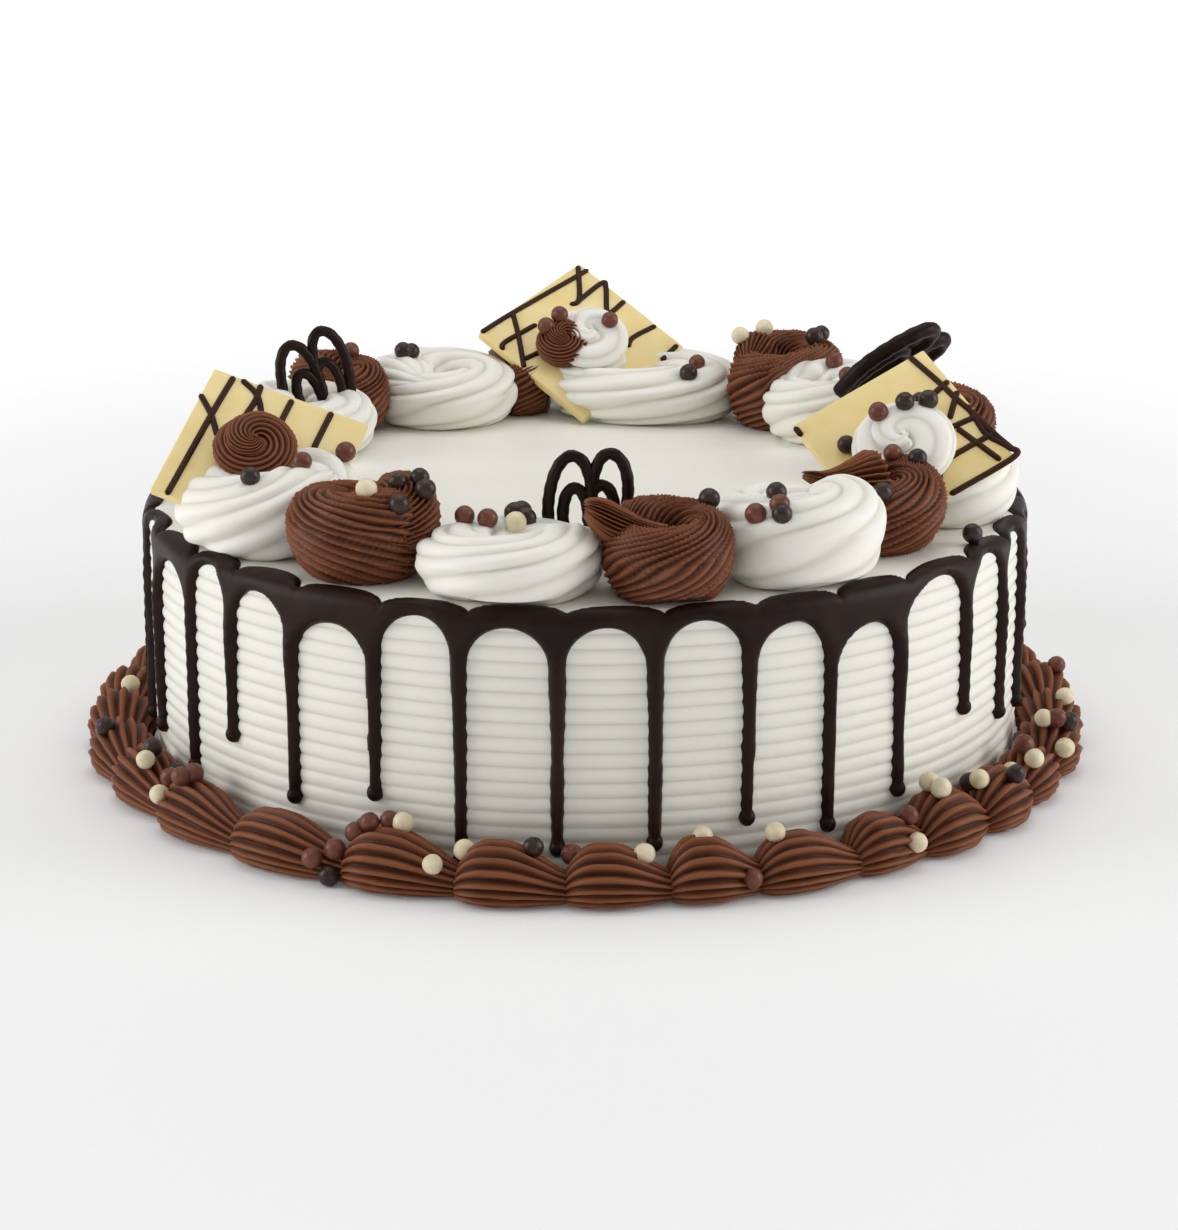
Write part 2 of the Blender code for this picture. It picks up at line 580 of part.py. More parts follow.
def make_filigree(name, collection):
    """A fan of piped arches that run together at the foot."""
    frame = filigree_frame(name)
    arches = []
    for k, (across, half, crown) in enumerate(FILIGREE_ARCHES):
        steps = 4 if half > 4.0 else 3
        across, half, crown = across * MM, half * MM, crown * MM
        # The first arch has both its legs. The others share its inner leg and have their outer one.
        outward = math.copysign(1.0, across)
        points = []
        for step in range(steps + 1):
            turn = math.pi * (1.0 - step / steps)
            points.append((across - outward * half * math.cos(turn),
                           crown - ARCH_STRETCH * half * (1.0 - math.sin(turn))))
        points.insert(0, (outward * FILIGREE_FOOT * half, 0.0))
        if k == 0:
            points.append((0.0, 0.0))
        route = bpy.data.curves.new("arch", "CURVE")
        route.dimensions = "3D"
        route.bevel_depth = STROKE_RADIUS
        route.bevel_resolution = 0
        route.use_fill_caps = True
        spline = route.splines.new("POLY")
        spline.points.add(len(points) - 1)
        # Each arch lies a hair behind the one before, so that no two faces share a plane
        for knot, (x, z) in zip(spline.points, points):
            knot.co = (x, 0.05 * MM * k, z, 1.0)
        curve = add_object("arch", route, collection)
        curve.matrix_world = frame
        bpy.context.view_layer.update()
        mesh = bpy.data.meshes.new_from_object(curve.evaluated_get(bpy.context.evaluated_depsgraph_get()))
        mesh.transform(frame)
        bpy.data.objects.remove(curve)
        shape = bmesh.new()
        shape.from_mesh(mesh)
        bmesh.ops.remove_doubles(shape, verts=shape.verts[:], dist=0.00001)
        arches.append(bpy.data.objects.new(f"arch_{k}", mesh_from("arch", shape)))
    fan = arches.pop(0)
    fan.name = f"filigree_{name}"
    fan.data.materials.append(finish("dark_chocolate"))
    collection.objects.link(fan)
    boolean(fan, arches, "UNION")
    return fan


def surface(item):
    """The faces of an object as a tree that can be searched."""
    return BVHTree.FromObject(item, bpy.context.evaluated_depsgraph_get())


def make_room(item, slots):
    """Cut an object with the slots that reach into it, and drop the scraps."""
    bpy.context.view_layer.update()
    skin = surface(item)
    meeting = []
    for slot in slots:
        shape = bmesh.new()
        shape.from_mesh(slot.data)
        if skin.overlap(BVHTree.FromBMesh(shape)):
            meeting.append(slot)
        else:
            bpy.data.objects.remove(slot)
        shape.free()
    if meeting:
        boolean(item, meeting, "DIFFERENCE")
        keep_largest(item)


def strew(item, places, seed):
    """Fuse crisp pearls to an object at places in plan, each sunk a little in the icing below it."""
    draw = random.Random(seed)
    bpy.context.view_layer.update()
    skin = surface(item)
    pearls = []
    for x, y in places:
        point = None
        pull = 1.0
        while point is None:
            above = Vector((x * pull, y * pull, 2.0 * CAKE_HEIGHT))
            point = skin.ray_cast(above, Vector((0.0, 0.0, -1.0)))[0]
            pull -= 0.004
        point.z = max(point.z + (1.0 - PEARL_SUNK) * PEARL_RADIUS, PEARL_RADIUS + 0.05 * MM)
        roll = Euler([draw.uniform(0.0, math.tau) for _ in range(3)]).to_matrix().to_4x4()
        shape = bmesh.new()
        bmesh.ops.create_icosphere(shape, subdivisions=1, radius=PEARL_RADIUS,
                                   matrix=Matrix.Translation(point) @ roll)
        pearls.append(bpy.data.objects.new("pearl", mesh_from("pearl", shape)))
    boolean(item, pearls, "UNION")


def border_pearl_places():
    """Places in plan of the pearls on the border, the seen ones and those behind."""
    draw = random.Random(11)
    places = [(angle, distance) for angle, distance in BORDER_PEARLS]
    first, last = BACK_PEARL_ANGLES
    step = (last - first) / BACK_PEARL_COUNT
    for k in range(BACK_PEARL_COUNT):
        places.append((first + (k + draw.uniform(0.1, 0.9)) * step, draw.uniform(*BORDER_PEARL_RANGE)))
    return [polar(angle, distance * MM).xy for angle, distance in places]


def main():
    for item in list(bpy.data.objects):
        bpy.data.objects.remove(item)
    collection = bpy.data.collections.new(PART_NAME)
    bpy.context.scene.collection.children.link(collection)
    make_body(collection)
    make_drip(collection)
    strew(make_border(collection), border_pearl_places(), 1)
    everyone = rosettes()
    centres = {rosette.name: rosette.centre for rosette in everyone}
    for rosette in everyone:
        item = make_rosette(rosette, everyone, collection)
        slots = [square_slot(name, item.name in LIES_ON[name]) for name in SQUARES]
        slots += [filigree_slot(name) for name in FILIGREES]
        make_room(item, slots)
    for name in SQUARES:
        make_square(name, collection)
    for name in DOLLOPS:
        make_dollop(name, collection)
        centres[name] = dollop_frame(name).translation
    for name in FILIGREES:
        make_filigree(name, collection)
    for seed, (name, offsets) in enumerate(TOP_PEARLS.items()):
        places = [(centres[name].x + x * MM, centres[name].y + y * MM) for x, y in offsets]
        strew(bpy.data.objects[name], places, seed)


main()
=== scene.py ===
"""Looks of a black forest drip cake: combed whipped icing, a poured chocolate drip, a piped shell foot, and
rosettes with white chocolate squares, piped filigrees and crisp pearls. Sizes are real ones, in metres."""

import math
import random

import bmesh
import bpy
from mathutils import Matrix, Vector, noise
from mathutils.bvhtree import BVHTree


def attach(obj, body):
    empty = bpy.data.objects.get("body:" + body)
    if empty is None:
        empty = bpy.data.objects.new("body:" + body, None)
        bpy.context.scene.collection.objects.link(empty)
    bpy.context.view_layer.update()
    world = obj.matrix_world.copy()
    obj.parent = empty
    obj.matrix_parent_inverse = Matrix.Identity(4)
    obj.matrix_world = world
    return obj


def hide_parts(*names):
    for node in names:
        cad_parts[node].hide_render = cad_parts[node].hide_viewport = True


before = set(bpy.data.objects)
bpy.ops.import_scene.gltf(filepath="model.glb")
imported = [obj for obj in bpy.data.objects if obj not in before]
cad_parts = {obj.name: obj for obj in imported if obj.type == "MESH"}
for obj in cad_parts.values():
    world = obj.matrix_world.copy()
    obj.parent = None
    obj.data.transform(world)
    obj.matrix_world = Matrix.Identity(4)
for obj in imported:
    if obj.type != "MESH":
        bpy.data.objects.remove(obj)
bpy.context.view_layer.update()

MM = 0.001

# Iced cake
CAKE_RADIUS = 104.0 * MM
CAKE_TOP = 61.0 * MM
EDGE_ROUND = 2.6 * MM
RIDGE_COUNT = 18
RIDGE_PITCH = 3.3 * MM
RIDGE_DEPTH = 0.40 * MM
RIDGE_POINTS = 6
SPIN_STEPS = 240

# Drip: angle of each leg in degrees and the height at which it ends in millimetres
FRONT_DRIPS = ((188.5, 9.0), (199.5, 12.0), (212.0, 9.0), (221.5, 21.0), (232.5, 11.4), (244.3, 16.0),
               (255.2, 3.0), (266.8, 7.0), (278.2, 8.0), (289.5, 12.0), (300.3, 7.5), (311.2, 11.5),
               (324.3, 24.7), (335.5, 18.0), (346.0, 15.0), (356.5, 28.0))
BACK_DRIP_COUNT = 16
BACK_DRIP_ENDS = (7.0, 26.0)
# Crown of the arch after each front leg: angle, height; and how far in over the top its lobe reaches
FRONT_ARCHES = ((194.8, 60.4, 99.5), (206.4, 56.0, 99.5), (217.4, 59.9, 98.6), (226.6, 57.6, 97.5),
                (238.9, 54.2, 99.5), (250.4, 58.6, 100.4), (261.0, 57.2, 100.3), (272.6, 57.6, 100.3),
                (283.8, 58.4, 100.3), (295.5, 56.1, 100.0), (306.8, 52.9, 99.0), (318.9, 59.2, 99.5),
                (330.0, 59.6, 99.0), (340.5, 60.0, 99.0), (351.0, 59.0, 99.5))
DRIP_CELL = 0.62 * MM
LEG_HALF = 1.42 * MM
BULB_RADIUS = 1.8 * MM
DROP_SKIN = 2.3 * MM
DROP_STRETCH = 1.15
ARCH_DEPTH = 8.5 * MM
# How far to a side of a leg its rounded end still counts
LEG_REACH = 4.0 * MM
LOBE_NOTCH = 60.4 * MM
DRIP_SKIN = 1.5 * MM
LEG_SKIN = 2.0 * MM
TOP_SKIN = 0.8 * MM
RIM_ROUND = 2.2 * MM

# Shell border: where the front shells start, in degrees, then an even run behind
FRONT_SHELLS = (202.0, 215.4, 229.0, 244.0, 257.0, 268.6, 279.6, 289.5, 301.1, 311.0)
BACK_SHELL_COUNT = 24
SHELL_MIDDLE = 112.7 * MM
SHELL_HALF = 8.3 * MM
SHELL_HEIGHT = 13.9 * MM
SHELL_TEETH = 15
SHELL_GROOVE = 0.27
SHELL_SHARP = 0.3
# How square the lower half of a shell's section is, from 1 for round
SHELL_FOOT = 0.35

# Rosettes: angle round the cake, diameter, distance from the cake's axis and height
WHITE_ROSETTES = ((214.0, 42.0, 86.0, 22.5), (259.5, 41.0, 87.5, 16.0), (301.5, 39.0, 87.0, 21.5),
                  (345.0, 37.0, 85.0, 17.0), (43.5, 35.0, 86.0, 19.0), (79.6, 54.0, 86.5, 17.0),
                  (115.4, 41.0, 88.5, 17.5), (148.0, 37.0, 84.0, 17.0))
BROWN_ROSETTES = ((236.2, 33.5, 87.0, 21.0), (281.0, 29.0, 91.5, 20.0), (322.7, 32.0, 82.0, 20.5),
                  (12.0, 33.0, 86.0, 22.0), (54.5, 33.0, 89.5, 24.0), (101.5, 24.0, 91.0, 17.0),
                  (134.5, 27.0, 91.0, 21.5), (181.0, 28.0, 83.0, 19.0))
# Rosettes that are longer round the cake than across: width across as a share of the diameter
SQUASHED = {"rosette_white_06": 0.74}
# Where a rosette's strand ends, in degrees round the rosette, where that isn't at its hidden inner side
STRAND_ENDS = {"rosette_brown_02": 196.0, "rosette_brown_01": 20.0, "rosette_white_05": 190.0}
# How each icing leaves its tip: teeth, groove depth, sharpness, raggedness, points round the strand
TIPS = {"brown": (27, 0.25, 0.50, 0.05, 174), "white": (9, 0.14, 0.06, 0.014, 96)}
# How square the lower half of the strand is, from 1 for round, and how much narrower it is at its foot
FEET = {"brown": (1.0, 0.12), "white": (0.62, 0.03)}
STRAND_TURNS = 1.65
# How far the ridges wind round the strand from its start to its end, in radians
TWIST = 6.2
TWISTS = {"rosette_brown_01": -6.0, "rosette_brown_02": 7.5, "rosette_white_01": 9.0, "rosette_white_02": 5.5,
          "rosette_white_03": 6.0, "rosette_brown_03": 7.0}
# Rosettes whose strand starts with a fan of ridges at the side: its direction in degrees, then its size, its
# height and its length as shares of the rosette's radius, height and radius, then its width where it starts
# and where it ends as shares of its size, and how far it tilts up as a share of the rosette's height
FANS = {"rosette_brown_02": (180.0, 0.60, 0.64, 1.18, 0.40, 0.80, 0.30),
        "rosette_brown_03": (194.0, 0.66, 0.68, 1.06, 1.05, 0.28, 0.16)}
# Rosettes whose strand ends in a lap over the side: the direction in degrees
LAPS = {"rosette_brown_01": -22.0}
# Width of the hollow in a rosette's top as a share of its radius
HOLLOWS = {"rosette_brown_02": 0.26, "rosette_brown_01": 0.16, "rosette_white_03": 0.12}
# Rosettes that sag to one side: direction of the low side in degrees, and the shares of the height that are
# lost there and gained on the other side
SAGS = {"rosette_white_01": (228.0, 0.30, 0.16), "rosette_white_02": (200.0, 0.10, 0.0),
        "rosette_brown_03": (250.0, 0.18, 0.0)}

# White chocolate squares: side, centre, then turn about the upright, lean and turn in the square's plane
SQUARES = {
    "left": (37.8, (-73.2, -42.1, 79.0), (14.7, 39.7, -29.5)),
    "right": (36.5, (72.7, -29.2, 79.6), (-9.9, 43.1, -51.5)),
    "back": (38.9, (-1.3, 92.0, 78.7), (12.2, 37.5, -53.3)),
}
SQUARE_THICKNESS = 2.4 * MM
DRIZZLE_RADIUS = 0.75 * MM
# Drizzled strokes in each square's own plane, in millimetres from its centre
DRIZZLE = {
    "right": (((-18.5, 14.5), (-8, 16), (-2.5, 16.5), (4, 17.5), (10.5, 18), (17, 19)),
              ((-5.5, 8.5), (-7.5, 18)),
              ((0.5, 17.5), (4.5, 17), (10, 16.5), (15.5, 18.5), (18.5, 18), (18.5, 0.5)),
              ((-4, 18), (1.5, 12)), ((3.5, 10.5), (4.5, 18)), ((4.5, 12), (17.5, 15)),
              ((10.5, 18), (10.5, 5), (14, 0.5)), ((-17.5, -18), (-14.5, -18))),
    "left": (((-14, 18.5), (-14.5, 6), (-15, -19)), ((-19, 10.5), (-14.5, 6), (-11, 1)),
             ((-12, 18.5), (-7, 15.5), (-3.5, 9.5)), ((-7.5, 19), (-7, 14.5), (-7.5, 8.5)),
             ((0.5, 18), (0.5, 10.5)), ((10, 18.5), (10, 7.5), (10.5, 4.5)),
             ((-8.5, -10.5), (-8.5, -19)), ((-8.5, -7.5), (-8, -9))),
    "back": (((-19, -19), (-18.5, -7.5), (-16.5, 16.5), (-16.5, 19)),
             ((-19, 18.5), (-10.5, 10), (-10.5, 6.5)),
             ((-10, 8), (-10.5, 19), (-8.5, 18.5), (-2, 12.5), (-2, 19)),
             ((-18.5, -7.5), (-12, -12), (-3, -19)), ((-11, -19), (-12.5, -17), (-12, -10), (-11.5, -5.5)),
             ((-5, -17), (-4, -11)), ((9.5, 19), (8.5, 11), (10, 7.5)), ((18, 18.5), (19, 11))),
}

# Dollops piped on the squares: the square, place in its plane, diameter, height and icing
DOLLOPS = {
    "dollop_white_right": ("right", (3.1, -1.5), 24.0, 8.5, "white"),
    "dollop_white_back": ("back", (3.1, -0.7), 21.0, 8.5, "white"),
    "dollop_brown_left": ("left", (-1.3, -1.3), 19.0, 9.0, "brown"),
    "dollop_brown_back": ("back", (-0.3, -7.6), 14.5, 9.0, "brown"),
}

# Filigrees: foot, turn about the upright, lean to the right, what the fan's size is multiplied by, and how
# thick its strokes are
FILIGREES = {
    "front": ((0.0, -72.0, 63.0), 0.0, 0.0, 0.92, 1.35 * MM),
    "left": ((-64.0, 45.0, 64.2), 25.0, -18.0, 0.98, 1.35 * MM),
    "right": ((64.0, 40.0, 75.0), 56.0, 55.0, 1.1, 1.9 * MM),
}
# Piped strokes of the fan, across and up from its foot in millimetres
FAN_STROKES = (
    ((-3.5, 0.0), (-7.4, 6.0), (-8.7, 11.0), (-8.4, 17.0), (-6.6, 23.0), (-3.6, 25.9), (-0.6, 24.6),
     (1.2, 20.0), (1.5, 14.0), (0.6, 6.0), (0.0, 0.0)),
    ((1.4, 13.0), (1.6, 19.0), (3.2, 24.6), (5.8, 26.5), (8.6, 24.6), (10.0, 19.6), (9.6, 13.0),
     (7.6, 6.5), (3.6, 0.0)),
    ((-1.6, 0.0), (-4.6, 6.5), (-5.3, 12.0), (-4.4, 16.6), (-2.6, 18.1), (-0.7, 17.0),
     (0.5, 13.5), (0.7, 9.0)),
    ((0.7, 9.0), (0.9, 14.0), (2.0, 17.6), (3.9, 18.8), (5.9, 17.3), (6.8, 13.0), (5.8, 7.0), (2.2, 0.0)),
)

# Crisp pearls on top: kind, and how far across and behind the named piece's centre, in millimetres
PEARL_RADIUS = 2.3 * MM
TOP_PEARLS = {
    "rosette_white_01": (("dark", -2.3, -13.0), ("milk", 8.7, -7.4)),
    "rosette_white_02": (("milk", -10.0, 8.3), ("milk", -5.0, 6.5), ("dark", 0.7, 11.7),
                         ("dark", 3.1, 9.6), ("white", 1.0, 6.6), ("dark", 2.1, 13.8)),
    "rosette_white_03": (("dark", -4.7, -7.6), ("milk", -9.4, -13.8), ("milk", -4.4, -14.5),
                         ("dark", -4.0, -16.7)),
    "rosette_white_05": (("milk", 1.8, 6.3), ("milk", 4.0, -8.2)),
    "rosette_white_06": (("milk", 13.5, -7.3), ("dark", 11.1, -14.5)),
    "rosette_white_07": (("dark", -8.0, 1.0), ("dark", -10.0, -1.4)),
    "rosette_brown_01": (("white", 1.7, -8.9), ("dark", 8.2, -4.6), ("dark", 12.8, -3.2),
                         ("dark", 14.2, -6.7), ("dark", 8.8, -11.8)),
    "rosette_brown_02": (("dark", 9.0, 8.0), ("dark", 2.5, -2.0)),
    "rosette_brown_03": (("milk", 4.0, 7.4), ("dark", 9.4, 5.6), ("dark", -0.0, -12.8)),
    "rosette_brown_05": (("dark", 7.5, 1.7), ("dark", 9.7, 6.2), ("white", -11.6, 5.1),
                         ("white", -5.2, 7.5)),
    "rosette_brown_07": (("milk", 2.6, 6.1),),
    "dollop_white_right": (("dark", 3.8, 5.7), ("milk", -6.2, 0.2), ("dark", -0.2, 0.7),
                           ("dark", 5.3, 2.2)),
    "dollop_white_back": (("milk", 5.7, -2.1),),
    "dollop_brown_back": (("milk", -0.4, -0.2), ("milk", -3.9, -2.2)),
}
# Pearls elsewhere on top: kind, angle round the cake and distance from its axis
LOOSE_TOP_PEARLS = (("milk", 217.4, 68.1), ("dark", 332.7, 67.2), ("white", 275.5, 72.5),
                    ("dark", 330.1, 100.2))
# Pearls on the shell border: kind, angle and distance from the axis
BORDER_PEARLS = (
    ("white", 177.7, 112.0), ("white", 209.8, 115.0), ("white", 215.8, 117.5), ("dark", 195.6, 117.0),
    ("dark", 160.5, 117.0), ("dark", 208.4, 112.0), ("dark", 211.7, 109.0), ("milk", 218.8, 112.0),
    ("milk", 218.6, 115.0), ("milk", 213.2, 112.0), ("milk", 242.3, 115.0), ("milk", 240.2, 117.6),
    ("dark", 242.1, 117.0), ("milk", 244.0, 112.0), ("milk", 244.3, 109.0), ("milk", 245.5, 111.0),
    ("milk", 247.5, 109.0), ("white", 249.1, 109.0), ("white", 253.9, 116.0), ("white", 256.7, 111.0),
    ("dark", 264.4, 112.0), ("milk", 268.5, 109.0), ("white", 276.4, 112.0), ("white", 283.2, 109.0),
    ("white", 291.1, 112.0), ("milk", 287.5, 117.6), ("milk", 308.0, 114.0), ("white", 307.5, 118.0),
    ("white", 313.9, 109.0), ("white", 313.6, 113.0), ("dark", 322.0, 109.0), ("white", 321.7, 112.0),
    ("white", 331.1, 111.0), ("milk", 333.7, 112.0), ("white", 343.5, 112.0), ("milk", 343.9, 115.0),
    ("white", 333.1, 115.0), ("dark", 325.0, 117.6), ("white", 342.3, 117.6), ("dark", 344.7, 117.6),
    ("white", 355.2, 116.0), ("milk", 6.5, 117.6), ("dark", 19.9, 117.0),
)
BACK_PEARL_COUNT = 16
BACK_PEARL_ANGLES = (30.0, 170.0)
BORDER_PEARL_RANGE = (109.0, 117.5)

# How deep the pearls sink, as a share of their radius
SUNK = {"white": 0.5, "brown": 0.38, "loose": 0.1, "border": 0.30}
# Rosettes: how much of the way a side that meets a neighbour gives, where the chocolate's lip starts on top
# and how high it lifts them
PRESS_SHARE = 0.92
LIP_START = 98.5 * MM
LIP_HEIGHT = 2.2 * MM
# How many rings of points each piped strand has, and how many points a ring of a shell has
ROSETTE_STATIONS = 120
DOLLOP_STATIONS = 90
FAN_STATIONS = 26
SHELL_STATIONS = 34
SHELL_POINTS = 102

# Camera and light
STUDIO_STRENGTH = 0.42
SIDE_POWER = 5.0
ABOVE_POWER = 3.4
FOCAL_LENGTH = 92.0
CAMERA_PLACE = (0.8 * MM, -732.1 * MM, 244.8 * MM)
CAMERA_AIM = (0.8 * MM, 0.0, 30.0 * MM)


def linear(code):
    """Turn an sRGB hex colour into the linear values that a shader takes."""
    parts = [int(code[k:k + 2], 16) / 255.0 for k in (1, 3, 5)]
    return [c / 12.92 if c <= 0.04045 else ((c + 0.055) / 1.055) ** 2.4 for c in parts] + [1.0]


def mix(low, high, share):
    return low + (high - low) * share


def smooth(low, high, value):
    """Ease from 0 at low to 1 at high."""
    share = min(max((value - low) / (high - low), 0.0), 1.0)
    return share * share * (3.0 - 2.0 * share)


def polar(angle, radius, z=0.0):
    """A point at an angle in degrees round the upright axis."""
    turn = math.radians(angle)
    return Vector((radius * math.cos(turn), radius * math.sin(turn), z))


def waver(*place):
    """Smooth noise between about -1 and 1."""
    return noise.noise(Vector(place))


def add_node(tree, kind, settings=None, links=None):
    """Add a shader node, set its properties, and set or link its sockets."""
    item = tree.nodes.new(kind)
    for name, value in (settings or {}).items():
        setattr(item, name, value)
    for name, value in (links or {}).items():
        if isinstance(value, bpy.types.NodeSocket):
            tree.links.new(value, item.inputs[name])
        else:
            item.inputs[name].default_value = value
    return item


def new_material(name, sockets):
    """A material of that name, its Principled shader with its constants set, and its Object coordinates."""
    material = bpy.data.materials.new(name)
    material.use_nodes = True
    tree = material.node_tree
    shader = tree.nodes["Principled BSDF"]
    for socket, value in sockets.items():
        shader.inputs[socket].default_value = value
    return material, tree, shader, add_node(tree, "ShaderNodeTexCoord").outputs["Object"]


def ramp(tree, fac, stops):
    """A colour ramp through hex colours at their places."""
    item = add_node(tree, "ShaderNodeValToRGB", links={"Fac": fac})
    band = item.color_ramp
    while len(band.elements) < len(stops):
        band.elements.new(0.5)
    for element, (place, code) in zip(band.elements, stops):
        element.position = place
        element.color = linear(code)
    return item.outputs["Color"]


def noise_over(tree, place, scale, detail):
    """Soft noise from 0 to 1 over the piece."""
    links = {"Vector": place, "Scale": scale, "Detail": detail}
    return add_node(tree, "ShaderNodeTexNoise", links=links).outputs["Fac"]


def bump_from(tree, height, strength, distance, normal=None):
    """Fine relief from a height, on top of another relief if one is given."""
    links = {"Height": height, "Strength": strength, "Distance": distance}
    if normal is not None:
        links["Normal"] = normal
    return add_node(tree, "ShaderNodeBump", links=links).outputs["Normal"]


def painted_shade_tone(tree, cloud, share):
    """How far up a ridge a point lies, with a share of cloudiness added; the icings turn it into painted
    shade in the grooves and painted light on the crests.
    """
    crest = add_node(tree, "ShaderNodeAttribute", {"attribute_name": "crest"}).outputs["Fac"]
    shade_tone = add_node(tree, "ShaderNodeMath", {"operation": "MULTIPLY_ADD"}, {0: cloud, 1: share, 2: crest})
    return shade_tone.outputs["Value"]


def dress(tree, shader, colour, normal):
    """Give the shader its colour and its relief."""
    tree.links.new(colour, shader.inputs["Base Color"])
    tree.links.new(normal, shader.inputs["Normal"])


def whipped_icing():
    """Whipped vegetable cream icing, combed and piped: off-white, satin, with light soaking a little into
    it, a faint warm cloudiness, painted shade in its grooves and a very fine grain of air bubbles."""
    material, tree, shader, place = new_material("whipped_icing", {
        "Roughness": 0.48, "IOR": 1.42, "Subsurface Weight": 0.22, "Subsurface Scale": 0.003,
        "Subsurface Radius": (1.0, 0.85, 0.65)})
    shade_tone = painted_shade_tone(tree, noise_over(tree, place, 70.0, 3.0), 0.35)
    # Painted shade: the colour darkens from the ridge crests down into the grooves.
    colour = ramp(tree, shade_tone, ((0.10, "#dad6c8"), (0.55, "#edebe1"), (1.0, "#f4f2e9")))
    swell = bump_from(tree, noise_over(tree, place, 220.0, 2.0), 0.25, 0.0006)
    dress(tree, shader, colour, bump_from(tree, noise_over(tree, place, 1500.0, 2.0), 0.3, 0.0001, swell))
    return material


def chocolate_buttercream():
    """Chocolate buttercream from a star tip: milk-chocolate brown, satin, with painted light on the ridges
    and painted shade in the grooves, and a slightly torn grain."""
    material, tree, shader, place = new_material("chocolate_buttercream", {
        "Roughness": 0.5, "IOR": 1.45, "Specular IOR Level": 0.25, "Subsurface Weight": 0.05,
        "Subsurface Scale": 0.001, "Subsurface Radius": (1.0, 0.5, 0.3)})
    shade_tone = painted_shade_tone(tree, noise_over(tree, place, 160.0, 4.0), 0.3)
    # Painted light on the ridge crests and painted shade in the grooves, from how far up a ridge each point
    # lies.
    colour = ramp(tree, shade_tone, ((0.25, "#381a0b"), (0.72, "#6d3d24"), (1.0, "#855033")))
    dress(tree, shader, colour, bump_from(tree, noise_over(tree, place, 900.0, 3.0), 0.35, 0.00025))
    return material


def poured_chocolate(name, dark, light, roughness):
    """Set dark chocolate, poured or piped: almost black brown with a satin gloss that varies softly."""
    material, tree, shader, place = new_material(name, {"IOR": 1.46, "Specular IOR Level": 0.16})
    cloud = noise_over(tree, place, 110.0, 3.0)
    gloss = add_node(tree, "ShaderNodeMapRange", links={
        "Value": cloud, "To Min": roughness - 0.06, "To Max": roughness + 0.08})
    tree.links.new(gloss.outputs["Result"], shader.inputs["Roughness"])
    colour = ramp(tree, cloud, ((0.3, dark), (0.7, light)))
    dress(tree, shader, colour, bump_from(tree, noise_over(tree, place, 450.0, 2.0), 0.2, 0.0003))
    return material


def white_chocolate():
    """Moulded white chocolate: smooth cream yellow with a low sheen and a faint cloudiness."""
    material, tree, shader, place = new_material("white_chocolate_moulded", {
        "Roughness": 0.34, "IOR": 1.45, "Subsurface Weight": 0.15, "Subsurface Scale": 0.002,
        "Subsurface Radius": (1.0, 0.8, 0.4)})
    cloud = noise_over(tree, place, 120.0, 4.0)
    colour = ramp(tree, cloud, ((0.3, "#ead28a"), (0.7, "#f1dda0")))
    dress(tree, shader, colour, bump_from(tree, cloud, 0.2, 0.0003))
    return material


def crisp_pearl(name, dark, light):
    """Crisp cereal pearl coated in chocolate: a glossy glaze over a slightly uneven ball."""
    material, tree, shader, place = new_material(name, {
        "Roughness": 0.4, "IOR": 1.46, "Specular IOR Level": 0.25, "Coat Weight": 0.22,
        "Coat Roughness": 0.16})
    cloud = noise_over(tree, place, 420.0, 3.0)
    colour = ramp(tree, cloud, ((0.3, dark), (0.7, light)))
    dress(tree, shader, colour, bump_from(tree, cloud, 0.35, 0.0006))
    return material


def new_shape():
    """An empty bmesh that stores how far up a ridge each point lies."""
    shape = bmesh.new()
    shape.verts.layers.float.new("crest")
    return shape


def new_piece(name, shape, material, slot, *nodes):
    """Make a smooth piece of a shape, on the cake's one body, in place of the named solids."""
    bmesh.ops.recalc_face_normals(shape, faces=shape.faces[:])
    for face in shape.faces:
        face.smooth = True
    mesh = bpy.data.meshes.new(name)
    shape.to_mesh(mesh)
    shape.free()
    mesh.materials.append(material)
    piece = bpy.data.objects.new(name, mesh)
    bpy.context.scene.collection.objects.link(piece)
    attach(piece, "root")
    if nodes:
        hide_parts(*nodes)
    return piece


def pipe(shape, count, stations, place):
    """Extrude a ring of points through the stations. place(station, k) gives each point and its crest."""
    crest = shape.verts.layers.float["crest"]
    ring = bmesh.ops.create_circle(shape, segments=count, radius=MM)["verts"]
    first = ring
    for station in range(stations):
        if station:
            edges = [shape.edges.get((ring[k - 1], ring[k])) for k in range(count)]
            geometry = bmesh.ops.extrude_edge_only(shape, edges=edges)["geom"]
            fresh = {item for item in geometry if isinstance(item, bmesh.types.BMVert)}
            ring = [next(edge.other_vert(vertex) for edge in vertex.link_edges
                         if edge.other_vert(vertex) in fresh) for vertex in ring]
        for k, vertex in enumerate(ring):
            vertex.co, vertex[crest] = place(station, k)
    for end in (first, ring):
        cap = bmesh.ops.contextual_create(shape, geom=end + [shape.edges.get((end[k - 1], end[k]))
                                                             for k in range(count)])["faces"]
        bmesh.ops.poke(shape, faces=cap)


def merge_into(shape, piece_of):
    """Add one bmesh to another and free it."""
    mesh = bpy.data.meshes.new("part")
    piece_of.to_mesh(mesh)
    piece_of.free()
    shape.from_mesh(mesh)
    bpy.data.meshes.remove(mesh)


def tooth(turn, teeth, offset, sharp):
    """How far up a ridge of the star tip a point lies, from round crests to sharp ones as sharp goes to 1."""
    phase = 0.5 * teeth * turn + offset
    return mix(abs(math.cos(phase)), 1.0 - abs(math.sin(phase)), sharp)


